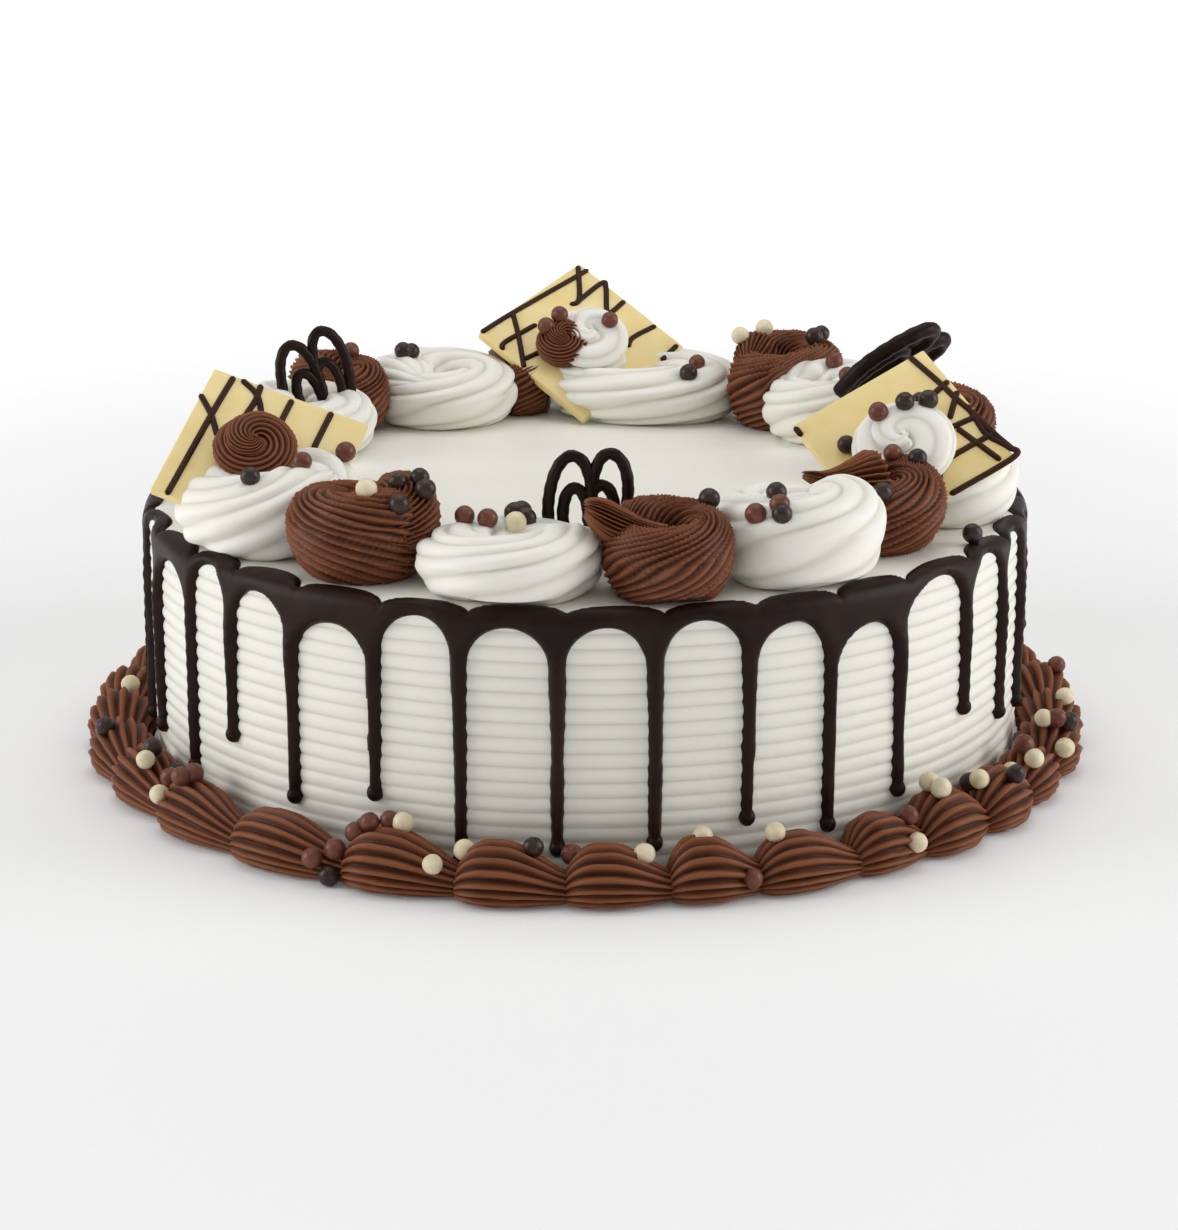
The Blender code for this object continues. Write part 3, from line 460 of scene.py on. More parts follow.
def round_path(points, step):
    """A smooth path through the points, sampled about every step."""
    points = [Vector(point) for point in points]
    ends = [2.0 * points[0] - points[1]] + points + [2.0 * points[-1] - points[-2]]
    path = []
    for k in range(1, len(ends) - 2):
        before, start, finish, after = ends[k - 1:k + 3]
        pieces = max(2, round((finish - start).length / step))
        for part in range(pieces):
            t = part / pieces
            path.append(0.5 * (2.0 * start + (finish - before) * t
                               + (2.0 * before - 5.0 * start + 4.0 * finish - after) * t * t
                               + (3.0 * start - before - 3.0 * finish + after) * t ** 3))
    return path + [points[-1]]


def cord_along(shape, matrix, points, radius, count, flat=1.0, beads=0.0):
    """Pipe a thin rope along points in the matrix's XY or XZ plane, rounded off at both ends."""
    path = round_path(points, 0.55 * radius)
    last = len(path) - 1
    plane = Vector((0.0, 0.0, 1.0)) if all(abs(point.z - path[0].z) < 0.01 * MM for point in path) else None
    plane = plane or Vector((0.0, 1.0, 0.0))
    run = [0.0]
    for before, after in zip(path, path[1:]):
        run.append(run[-1] + (after - before).length)

    def place(station, k):
        along = (path[min(station + 1, last)] - path[max(station - 1, 0)]).normalized()
        aside = along.cross(plane).normalized()
        edge = min(run[station], run[-1] - run[station]) / radius
        size = radius * math.sqrt(max(1.0 - (1.0 - min(edge + 0.08, 1.0)) ** 2, 0.02))
        size *= 1.0 + beads * math.sin(run[station] / (0.34 * radius))
        turn = math.tau * k / count
        point = path[station] + size * (aside * math.cos(turn) + flat * plane * math.sin(turn))
        return matrix @ point, 0.7

    pipe(shape, count, last + 1, place)


def make_body(material):
    """The iced cake, spun from a profile with a rounded top edge and combed ridges that waver a little."""
    shape = new_shape()
    crest = shape.verts.layers.float["crest"]
    inner = CAKE_RADIUS - EDGE_ROUND
    profile = [(0.0, CAKE_TOP, 0.7)]
    profile += [(inner * share, CAKE_TOP, 0.7) for share in (0.2, 0.4, 0.6, 0.75, 0.88, 0.96, 1.0)]
    for k in range(1, 6):
        turn = math.radians(18.0 * k)
        drop = EDGE_ROUND * (1.0 - math.cos(turn))
        profile.append((inner + EDGE_ROUND * math.sin(turn), CAKE_TOP - drop, 0.7))
    steps = RIDGE_COUNT * RIDGE_POINTS
    for k in range(steps + 1):
        z = (RIDGE_COUNT * RIDGE_PITCH) * (1.0 - k / steps)
        if z < CAKE_TOP - EDGE_ROUND:
            high = abs(math.sin(math.pi * z / RIDGE_PITCH)) ** 0.8
            profile.append((CAKE_RADIUS - RIDGE_DEPTH * (1.0 - high), z, high))
    profile.append((CAKE_RADIUS - 4.0 * MM, 0.0, 0.0))
    profile.append((0.0, 0.0, 0.0))
    chain = []
    for radius, z, high in profile:
        vertex = shape.verts.new((radius, 0.0, z))
        vertex[crest] = high
        if chain:
            shape.edges.new((chain[-1], vertex))
        chain.append(vertex)
    bmesh.ops.spin(shape, geom=shape.verts[:] + shape.edges[:], axis=(0.0, 0.0, 1.0), cent=(0.0, 0.0, 0.0),
                   angle=math.tau, steps=SPIN_STEPS, use_merge=True, use_duplicate=False)
    bmesh.ops.remove_doubles(shape, verts=shape.verts[:], dist=0.01 * MM)
    for vertex in shape.verts:
        radius = math.hypot(vertex.co.x, vertex.co.y)
        if radius > CAKE_RADIUS - 2.0 * RIDGE_DEPTH and MM < vertex.co.z < CAKE_TOP - EDGE_ROUND:
            x, y, z = vertex.co
            vertex.co.z += 0.28 * MM * waver(45.0 * x, 45.0 * y, 60.0 * z)
            push = 0.16 * waver(160.0 * x, 160.0 * y, 500.0 * z)
            push += 0.12 * waver(400.0 * x, 400.0 * y, 900.0 * z)
            vertex.co.xy *= 1.0 + push * MM / radius
        elif vertex.co.z > CAKE_TOP - 0.1 * MM:
            vertex.co.z += 0.12 * MM * waver(60.0 * vertex.co.x, 60.0 * vertex.co.y, 2.0)
    return new_piece("iced_cake_combed", shape, material, "white_icing", "iced_cake")


def drip_layout():
    """Every leg of the drip (angle, end) and the arch after it (crown angle, crown height, lobe reach)."""
    draw = random.Random(4)
    legs = [(angle, end * MM) for angle, end in FRONT_DRIPS]
    arches = [(angle, height * MM, reach * MM) for angle, height, reach in FRONT_ARCHES]
    first, last = FRONT_DRIPS[0][0] + 360.0, FRONT_DRIPS[-1][0]
    step = (first - last) / (BACK_DRIP_COUNT + 1)
    for k in range(1, BACK_DRIP_COUNT + 1):
        legs.append((last + k * step + draw.uniform(-1.0, 1.0), draw.uniform(*BACK_DRIP_ENDS) * MM))
    for k in range(len(arches), len(legs)):
        following = legs[k + 1][0] if k + 1 < len(legs) else first
        middle = 0.5 * (legs[k][0] + following) + draw.uniform(-0.8, 0.8)
        arches.append((middle, draw.uniform(54.5, 59.0) * MM, draw.uniform(98.5, 100.5) * MM))
    return legs, arches


def over_edge(q, lift):
    """Radius and height of a point on the cake's side, edge or top, lifted off the icing."""
    side = CAKE_TOP - EDGE_ROUND
    quarter = 0.5 * math.pi * EDGE_ROUND
    if q < side:
        return CAKE_RADIUS + lift, q
    if q < side + quarter:
        turn = (q - side) / EDGE_ROUND
        reach = EDGE_ROUND + lift
        return CAKE_RADIUS - EDGE_ROUND + reach * math.cos(turn), side + reach * math.sin(turn)
    return CAKE_RADIUS - EDGE_ROUND - (q - side - quarter), CAKE_TOP + lift


def run_to(radius):
    """How far up the side and in over the top a point of the top at that radius lies."""
    return CAKE_TOP - EDGE_ROUND + 0.5 * math.pi * EDGE_ROUND + (CAKE_RADIUS - EDGE_ROUND - radius)


class Drip:
    """The outline of the poured chocolate, laid flat: s runs round the cake and q up its side."""

    def __init__(self):
        legs, arches = drip_layout()
        self.around = math.tau * CAKE_RADIUS
        self.legs = [(math.radians(angle) * CAKE_RADIUS, end) for angle, end in legs]
        self.arches = [(math.radians(angle) * CAKE_RADIUS, crown, run_to(reach))
                       for angle, crown, reach in arches]
        self.start = self.legs[0][0] - 0.5 * DRIP_CELL

    def half(self, k, q):
        """Half the width of leg k at height q, wavering over the combed ridges."""
        ridge = 0.06 * MM * math.cos(math.tau * q / RIDGE_PITCH) * (1.0 - smooth(44.0 * MM, 50.0 * MM, q))
        flare = 0.5 * MM * smooth(30.0 * MM, 52.0 * MM, q)
        uneven = 0.25 * waver(3.1 * k, 130.0 * q, 0.5) + 0.12 * waver(3.1 * k, 420.0 * q, 2.5)
        return LEG_HALF + flare + ridge + uneven * MM

    def sway(self, k, q):
        """How far leg k wanders to a side on its way down."""
        return 0.45 * MM * waver(7.7 * k, 28.0 * q, 4.0)

    def inside(self, s, q):
        """How far inside the chocolate's outline a point lies, below zero outside it."""
        count = len(self.legs)
        lowest = self.legs[0][0]
        while s < lowest - LEG_REACH:
            s += self.around
        k = 0
        while k + 1 < count and self.legs[k + 1][0] <= s:
            k += 1
        best = 1.0
        for j in (k - 1, k, k + 1):
            best = min(best, self.outside_arch(j, s, q))
        depth = best
        for j in (k, k + 1):
            centre, end = self.leg(j)
            if abs(s - centre) < LEG_REACH:
                ball = BULB_RADIUS - math.hypot(s - centre - self.sway(j, end), q - end - BULB_RADIUS)
                if q < end + BULB_RADIUS:
                    depth = min(depth, ball)
                elif q < end + 2.6 * BULB_RADIUS:
                    depth = max(depth, ball)
        return min(depth, self.upper(k, s) - q)

    def leg(self, j):
        """Place and end of leg j, counted on past the last one and back before the first."""
        count = len(self.legs)
        turns, k = divmod(j, count)
        centre, end = self.legs[k]
        return centre + turns * self.around, end

    def outside_arch(self, j, s, q):
        """How far a point lies from the bare icing between legs j and j + 1."""
        count = len(self.legs)
        turns, k = divmod(j, count)
        crown, height, _ = self.arches[k]
        crown += turns * self.around
        left = self.leg(j)[0] + self.sway(j, q) + self.half(j, q)
        right = self.leg(j + 1)[0] + self.sway(j + 1, q) - self.half(j + 1, q)
        middle = 0.5 * (left + right)
        spring = height - ARCH_DEPTH
        if q <= spring:
            return max(left - s, s - right)
        share = (q - spring) / ARCH_DEPTH
        peak = mix(middle, crown, 0.7 * min(share, 1.0))
        wide = max(peak - left if s < peak else right - peak, MM)
        x, y = (s - peak) / wide, share
        reach = math.hypot(x, y)
        slope = math.hypot(x / wide, y / ARCH_DEPTH)
        return (reach - 1.0) * reach / max(slope, 1e-6) if reach > 1e-6 else -ARCH_DEPTH

    def upper(self, k, s):
        """The chocolate's upper edge over the top of the cake: one rounded lobe to each arch."""
        half = 1.9 * MM
        start = self.leg(k)[0] + half
        if s < start:
            k -= 1
            start = self.leg(k)[0] + half
        share = (s - start) / (self.leg(k + 1)[0] + half - start)
        reach = self.arches[k % len(self.arches)][2]
        lobe = (1.0 - abs(2.0 * share - 1.0) ** 2.0) ** 0.7 if 0.0 < share < 1.0 else 0.0
        return mix(LOBE_NOTCH, reach, lobe) + 0.5 * MM * waver(90.0 * s, 3.0, 1.0)


def add_drop(shape, s, q):
    """The rounded drop in which a leg of the drip ends, on the cake's side."""
    crest = shape.verts.layers.float["crest"]
    ball = bmesh.ops.create_icosphere(shape, subdivisions=3, radius=1.0)["verts"]
    for vertex in ball:
        x, y, z = vertex.co
        radius = CAKE_RADIUS + DROP_SKIN * z
        height = q + DROP_STRETCH * BULB_RADIUS * y
        vertex.co = polar(math.degrees((s + BULB_RADIUS * x) / CAKE_RADIUS), radius, height)
        vertex[crest] = 0.5


def make_drip(material):
    """The poured chocolate: a flat grid trimmed to the outline, its rim rounded, laid over the cake."""
    outline = Drip()
    shape = new_shape()
    width = outline.around
    columns = round(width / DRIP_CELL)
    low = 2.0 * MM
    high = run_to(96.0 * MM)
    rows = round((high - low) / DRIP_CELL)
    middle = Matrix.Translation((outline.start + 0.5 * width, low + 0.5 * (high - low), 0.0))
    bmesh.ops.create_grid(shape, x_segments=columns, y_segments=rows, size=0.5,
                          matrix=middle @ Matrix.Diagonal((width, high - low, 1.0, 1.0)))
    step = 0.05 * MM

    def snap(vertex, depth):
        """Move a point straight onto the outline."""
        slope = Vector((outline.inside(vertex.co.x + step, vertex.co.y) - depth,
                        outline.inside(vertex.co.x, vertex.co.y + step) - depth)) / step
        if slope.length > 0.2:
            move = slope * (-depth / slope.length_squared)
            vertex.co.xy += move.to_2d() if move.length < 1.6 * DRIP_CELL else move.normalized() * DRIP_CELL

    seam = {vertex for vertex in shape.verts if vertex.is_boundary}
    outer = []
    for vertex in shape.verts:
        depth = outline.inside(vertex.co.x, vertex.co.y)
        if abs(depth) < 0.45 * DRIP_CELL and vertex not in seam:
            snap(vertex, depth)
        elif depth < 0.0:
            outer.append(vertex)
    bmesh.ops.delete(shape, geom=outer, context="VERTS")
    for _ in range(2):
        for vertex in shape.verts:
            if vertex.is_boundary and vertex not in seam:
                snap(vertex, outline.inside(vertex.co.x, vertex.co.y))
    under = shape.verts[:]
    places = [(vertex.co.x, vertex.co.y) for vertex in under]
    crest = shape.verts.layers.float["crest"]
    for k, vertex in enumerate(under):
        vertex[crest] = k
    skin = bmesh.ops.extrude_face_region(shape, geom=shape.faces[:])["geom"]
    top = [item for item in skin if isinstance(item, bmesh.types.BMVert)]
    for vertex in top + under:
        s, q = places[round(vertex[crest])]
        vertex.co.z = 0.0
        vertex.co.x, vertex.co.y = s, q
    raised = set(top)
    for vertex in shape.verts:
        s, q = vertex.co.x, vertex.co.y
        if vertex in raised:
            rim = min(max(outline.inside(s, q), 0.0) / RIM_ROUND, 1.0)
            thick = mix(LEG_SKIN, DRIP_SKIN, smooth(44.0 * MM, 54.0 * MM, q))
            thick = mix(thick, TOP_SKIN, smooth(57.0 * MM, 63.0 * MM, q))
            ridge = -0.20 * MM * math.cos(math.tau * q / RIDGE_PITCH)
            ridge *= 1.0 - smooth(46.0 * MM, 54.0 * MM, q)
            lump = 1.0 + 0.18 * waver(60.0 * s, 60.0 * q, 9.0)
            lift = 0.05 * MM + thick * lump * math.sqrt(1.0 - (1.0 - rim) ** 2) + ridge * rim
        else:
            lift = -0.9 * MM
        radius, z = over_edge(q, lift)
        vertex.co = polar(math.degrees(s / CAKE_RADIUS), radius, z)
        vertex[crest] = 0.5
    bmesh.ops.remove_doubles(shape, verts=shape.verts[:], dist=0.02 * MM)
    for k, (centre, end) in enumerate(outline.legs):
        add_drop(shape, centre + outline.sway(k, end), end + BULB_RADIUS)
    return new_piece("poured_drip", shape, material, "dark_chocolate", "chocolate_drip")


def shell_starts():
    """The angle at which each shell starts, once round the cake."""
    starts = list(FRONT_SHELLS)
    first, last = FRONT_SHELLS[0] + 360.0, FRONT_SHELLS[-1]
    step = (first - last) / BACK_SHELL_COUNT
    return starts + [last + k * step for k in range(1, BACK_SHELL_COUNT)]


def make_border(material):
    """The piped shells: each swells to a ribbed head, then draws out to a tail under the next one's head."""
    draw = random.Random(7)
    starts = shell_starts()
    border = new_shape()
    count, stations = SHELL_POINTS, SHELL_STATIONS
    for j, start in enumerate(starts):
        following = starts[(j + 1) % len(starts)] + (360.0 if j + 1 == len(starts) else 0.0)
        length = following - start
        bulk = draw.uniform(0.90, 1.04)
        shift = draw.uniform(-0.7, 0.6) * MM
        phase = draw.uniform(0.0, 1.0)
        shape = new_shape()

        def place(station, k):
            share = station / (stations - 1)
            along = mix(-0.10, 1.16, share)
            head = math.sqrt(max(1.0 - (1.0 - min(share / 0.28, 1.0)) ** 2, 0.0))
            size = bulk * mix(0.10, 1.0, head) * mix(1.0, 0.38, smooth(0.36, 1.0, share))
            turn = math.tau * k / count
            high = tooth(turn, SHELL_TEETH, phase + 0.25 * share, SHELL_SHARP)
            ragged = 0.05 * waver(6.0 * share + 9.0 * j, 1.2 * SHELL_TEETH * turn, 2.0)
            out = 1.0 - SHELL_GROOVE * (1.0 - high) + ragged
            wide = math.cos(turn)
            if math.sin(turn) < 0.0:
                wide = math.copysign(abs(wide) ** SHELL_FOOT, wide)
            across = SHELL_HALF * size * out * wide
            middle = 0.42 * SHELL_HEIGHT * mix(size, 1.0, 0.15)
            upper = (0.58 if math.sin(turn) > 0.0 else 0.42) * SHELL_HEIGHT * size
            z = middle + upper * out * math.sin(turn)
            radius = SHELL_MIDDLE + shift + across
            point = polar(start + along * length, max(radius, CAKE_RADIUS - 0.6 * MM), max(z, 0.05 * MM))
            return point, high

        pipe(shape, count, stations, place)
        merge_into(border, shape)
    return new_piece("piped_shells", border, material, "brown_icing", "shell_border")


class Rosette:
    """A piped rosette's place and size on top of the cake."""

    def __init__(self, name, icing, angle, diameter, distance, height):
        self.name = name
        self.icing = icing
        self.centre = polar(angle, distance * MM, CAKE_TOP)
        self.radius = 0.5 * diameter * MM
        self.height = height * MM
        self.end = STRAND_ENDS.get(name, angle + 150.0)
        self.hollow = HOLLOWS.get(name, 0.10)
        self.sag = SAGS.get(name, (0.0, 0.0, 0.0))


def rosettes():
    """All rosettes, white and brown, as places and sizes."""
    found = []
    for colour, sizes in (("white", WHITE_ROSETTES), ("brown", BROWN_ROSETTES)):
        for k, size in enumerate(sizes):
            found.append(Rosette(f"rosette_{colour}_{k + 1:02d}", colour, *size))
    return found


def press(point, rosette, others):
    """Flatten a point where the rosette meets its neighbours, and lift it over the chocolate's lip."""
    for other in others:
        away = other.centre - rosette.centre
        away.z = 0.0
        distance = away.length
        if distance > rosette.radius + other.radius:
            continue
        away.normalize()
        wall = (distance ** 2 + rosette.radius ** 2 - other.radius ** 2) / (2.0 * distance)
        over = (point - rosette.centre).dot(away) - wall
        if over > 0.0:
            point -= away * over * PRESS_SHARE
    outside = math.hypot(point.x, point.y) - LIP_START
    if outside > 0.0:
        point.z = max(point.z, CAKE_TOP + min(0.6 * outside, LIP_HEIGHT))


def make_fan(rosette):
    """The strand's start at a rosette's side: ridges that spread from a pinch and end in loose points."""
    direction, size, level, length, first, tip, tilt = FANS[rosette.name]
    teeth, groove, sharp, ragged, count = TIPS[rosette.icing]
    radius = size * rosette.radius
    out = polar(direction, 1.0)
    aside = Vector((-out.y, out.x, 0.0))
    start = rosette.centre + Vector((0.0, 0.0, level * rosette.height))
    stations = FAN_STATIONS
    shape = new_shape()

    def place(station, k):
        share = station / (stations - 1)
        turn = math.tau * k / count
        high = tooth(turn, teeth, 0.4, mix(sharp, 1.0, share))
        deep = mix(groove, 2.2 * groove, share)
        closing = math.sqrt(1.0 - 0.88 * max((share - 0.6) / 0.4, 0.0) ** 2)
        spread = radius * mix(first, tip, smooth(0.0, 0.8, share)) * closing * (1.0 - deep * (1.0 - high))
        spread *= 1.0 + ragged * waver(9.0 * share, teeth * turn / 3.0, 8.0)
        along = length * rosette.radius * share * mix(1.0, mix(0.88, 1.05, high), share)
        rise = 0.72 * spread * math.sin(turn) + tilt * rosette.height * share * share
        return start + along * out + aside * spread * math.cos(turn) + Vector((0.0, 0.0, rise)), high

    pipe(shape, count, stations, place)
    return shape


def make_lap(rosette):
    """The strand's end at a rosette's side: it climbs the side and folds over into the hollow."""
    teeth, groove, sharp, ragged, count = TIPS[rosette.icing]
    radius, height = rosette.radius, rosette.height
    side = LAPS[rosette.name]
    # Degrees on from the lap's direction, then shares of the rosette's radius and height
    route = ((-30.0, 0.62, 0.30), (-12.0, 0.72, 0.55), (4.0, 0.66, 0.72), (30.0, 0.42, 0.80),
             (70.0, 0.22, 0.66))
    path = round_path([polar(side + on, out * radius, up * height) for on, out, up in route], 0.8 * MM)
    last = len(path) - 1
    shape = new_shape()

    def place(station, k):
        share = station / last
        along = (path[min(station + 1, last)] - path[max(station - 1, 0)]).normalized()
        aside = along.cross(Vector((0.0, 0.0, 1.0))).normalized()
        upward = aside.cross(along)
        turn = math.tau * k / count
        high = tooth(turn + 1.2 * share, teeth, 0.7, sharp)
        size = 0.40 * radius * mix(0.35, 1.0, smooth(0.0, 0.3, share))
        size *= mix(1.0, 0.45, smooth(0.6, 1.0, share))
        size *= 1.0 - 1.2 * groove * (1.0 - high) + ragged * waver(12.0 * share, teeth * turn / 3.0, 4.0)
        ring = aside * math.cos(turn) + upward * math.sin(turn)
        return rosette.centre + path[station] + size * ring, high

    pipe(shape, count, last + 1, place)
    return shape


def make_rosette(rosette, everyone, material):
    """One rosette: a ribbed strand that starts low in the middle, winds outwards and laps over itself."""
    teeth, groove, sharp, ragged, count = TIPS[rosette.icing]
    square_foot, foot_tuck = FEET[rosette.icing]
    twist = TWISTS.get(rosette.name, TWIST)
    outward = rosette.centre.to_2d().to_3d().normalized()
    squash = SQUASHED.get(rosette.name, 1.0)
    stations = ROSETTE_STATIONS
    others = [other for other in everyone if other is not rosette]
    seed = rosette.centre.x * 900.0
    height = rosette.height
    half = 0.5 * (1.0 - rosette.hollow) * rosette.radius
    low_side, lost, gained = rosette.sag
    shape = new_shape()

    def place(station, k):
        share = station / (stations - 1)
        angle = math.radians(rosette.end) - (1.0 - share) * STRAND_TURNS * math.tau
        taper = 1.0 - 0.72 * smooth(0.87, 1.0, share) ** 1.5
        size = mix(0.5, 1.0, smooth(0.0, 0.3, share)) * taper
        across = half * size * (1.0 + 0.03 * waver(4.0 * share, seed, 1.0))
        reach = (rosette.radius - half) * smooth(-0.05, 0.34, share) + (1.0 - taper) * 0.35 * half
        middle = height * mix(0.40, 0.63, smooth(0.15, 1.0, share))
        upper = 0.37 * height * size * (1.0 + 0.03 * waver(5.0 * share, seed, 7.0))
        turn = math.tau * k / count
        wound = turn - twist * share + 0.09 * math.sin(2.0 * turn + seed)
        wound += 0.05 * math.sin(5.0 * turn + 3.0 * seed)
        ridge = teeth * wound / math.tau
        wander = 0.9 * waver(3.0 * share, seed, 4.0) + 0.5 * waver(9.0 * share, 0.4 * ridge, seed)
        high = tooth(wound, teeth, seed + wander, sharp)
        deep = groove * (1.0 + 1.0 * waver(1.3 * ridge, 5.0 * share, seed))
        rough = waver(16.0 * share, 1.1 * ridge, 3.0 + seed)
        rough = ragged * (rough + 0.5 * waver(60.0 * share, 1.1 * ridge, 5.0))
        out = 1.0 - deep * (1.0 - high) + rough
        rise = math.sin(turn)
        wide = math.cos(turn)
        if rise < 0.0:
            wide = math.copysign(abs(wide) ** square_foot, wide) * (1.0 - foot_tuck * rise * rise)
        lift = upper * out * rise if rise > 0.0 else (middle + 0.4 * MM) * mix(1.0, out, 0.3) * rise
        spread = reach + across * out * wide
        flat = Vector((math.cos(angle), math.sin(angle), 0.0)) * spread
        flat -= outward * flat.dot(outward) * (1.0 - squash)
        lean = 1.0
        if lost:
            lean = mix(1.0 + gained, 1.0 - lost, 0.5 + 0.5 * flat.dot(polar(low_side, 1.0)) / rosette.radius)
        point = rosette.centre + flat + Vector((0.0, 0.0, max(middle + lift, -0.4 * MM) * lean))
        press(point, rosette, others)
        return point, high

    pipe(shape, count, stations, place)
    if rosette.name in FANS:
        merge_into(shape, make_fan(rosette))
    if rosette.name in LAPS:
        merge_into(shape, make_lap(rosette))
    return new_piece(f"{rosette.name}_piped", shape, material, f"{rosette.icing}_icing", rosette.name)


def square_frame(name):
    """A square's matrix: its face looks along its own +Z."""
    side, centre, (turn, lean, spin) = SQUARES[name]
    facing = (Matrix.Rotation(math.radians(turn), 4, "Z") @ Matrix.Rotation(math.radians(lean), 4, "X")
              @ Matrix.Rotation(math.radians(spin), 4, "Z"))
    return side * MM, Matrix.Translation(Vector(centre) * MM) @ facing


def make_square(name, plate_material, drizzle_material):
    """A moulded square with softened edges, and the dark drizzle that crosses it as its own piece."""
    side, matrix = square_frame(name)
    plate = new_shape()
    bmesh.ops.create_cube(plate, size=1.0, matrix=Matrix.Diagonal((side, side, SQUARE_THICKNESS, 1.0)))
    bmesh.ops.bevel(plate, geom=plate.edges[:], offset=0.45 * MM, affect="EDGES", segments=3, profile=0.5,
                    material=-1)
    bmesh.ops.transform(plate, matrix=matrix, verts=plate.verts[:])
    drizzle = new_shape()
    for points in DRIZZLE[name]:
        stroke = new_shape()
        flat = [Vector((x, y, 0.0)) * MM + Vector((0.0, 0.0, 0.5 * SQUARE_THICKNESS)) for x, y in points]
        cord_along(stroke, matrix, flat, DRIZZLE_RADIUS, 12, flat=0.75)
        merge_into(drizzle, stroke)
    new_piece(f"square_{name}", plate, plate_material, "white_chocolate", f"chocolate_square_{name}")
    return new_piece(f"drizzle_{name}", drizzle, drizzle_material, "dark_chocolate")


def make_dollop(name, material):
    """A small swirl piped on a square's face, closing to a soft peak."""
    square, spot, diameter, height, icing = DOLLOPS[name]
    lift = 0.5 * SQUARE_THICKNESS
    matrix = square_frame(square)[1] @ Matrix.Translation((spot[0] * MM, spot[1] * MM, lift))
    teeth, groove, sharp, ragged, count = TIPS[icing]
    teeth = round(0.7 * teeth)
    groove *= 0.75 if icing == "white" else 1.0
    radius, height = 0.5 * diameter * MM, height * MM
    stations = DOLLOP_STATIONS
    shape = new_shape()

    def place(station, k):
        share = station / (stations - 1)
        angle = math.tau * (2.0 * share + 0.15)
        size = mix(1.0, 0.5, smooth(0.5, 0.95, share)) * mix(0.4, 1.0, smooth(0.0, 0.08, share))
        size *= 1.0 - 0.8 * smooth(0.92, 1.0, share)
        across = 0.5 * radius * size
        reach = 0.5 * radius * (1.0 - smooth(0.5, 1.0, share))
        middle = height * mix(0.34, 0.76, smooth(0.1, 1.0, share))
        turn = math.tau * k / count
        high = tooth(turn - 3.6 * share, teeth, 0.8 * waver(5.0 * share, 2.0, radius * 900.0), sharp)
        out = 1.0 - groove * (1.0 - high) + ragged * waver(14.0 * share, teeth * turn / 3.0, 6.0)
        rise = math.sin(turn)
        up = 0.34 * height * size * out * rise if rise > 0.0 else (middle + 0.3 * MM) * rise
        spread = reach + across * out * math.cos(turn)
        point = Vector((math.cos(angle) * spread, math.sin(angle) * spread, middle + up))
        return matrix @ point, high

    pipe(shape, count, stations, place)
    return new_piece(f"{name}_piped", shape, material, f"{icing}_icing", name)


def make_filigree(name, material):
    """A fan of piped chocolate arches that run together at the foot."""
    foot, turn, lean, size, stroke_radius = FILIGREES[name]
    matrix = (Matrix.Translation(Vector(foot) * MM) @ Matrix.Rotation(math.radians(lean), 4, "Y")
              @ Matrix.Rotation(math.radians(turn), 4, "Z") @ Matrix.Scale(size, 4))
    fan = new_shape()
    for k, points in enumerate(FAN_STROKES):
        stroke = new_shape()
        behind = 0.12 * MM * k
        places = [Vector((x * MM, behind, z * MM)) for x, z in points]
        cord_along(stroke, matrix, places, stroke_radius / size, 18, beads=0.05)
        merge_into(fan, stroke)
    return new_piece(f"filigree_{name}_piped", fan, material, "dark_chocolate", f"filigree_{name}")


def surfaces_of(pieces):
    """One search tree over all the pieces."""
    whole = bmesh.new()
    for piece in pieces:
        whole.from_mesh(piece.data)
    tree = BVHTree.FromBMesh(whole)
    whole.free()
    return tree


def settle(tree, x, y, sunk):
    """Where a pearl dropped at a place in plan comes to rest, sunk a little in what it lands on."""
    found = tree.ray_cast(Vector((x, y, 2.0 * CAKE_TOP)), Vector((0.0, 0.0, -1.0)))[0]
    ground = found.z if found else 0.0
    lift = PEARL_RADIUS * (1.0 - sunk) if ground > MM else PEARL_RADIUS
    return Vector((x, y, ground + lift))


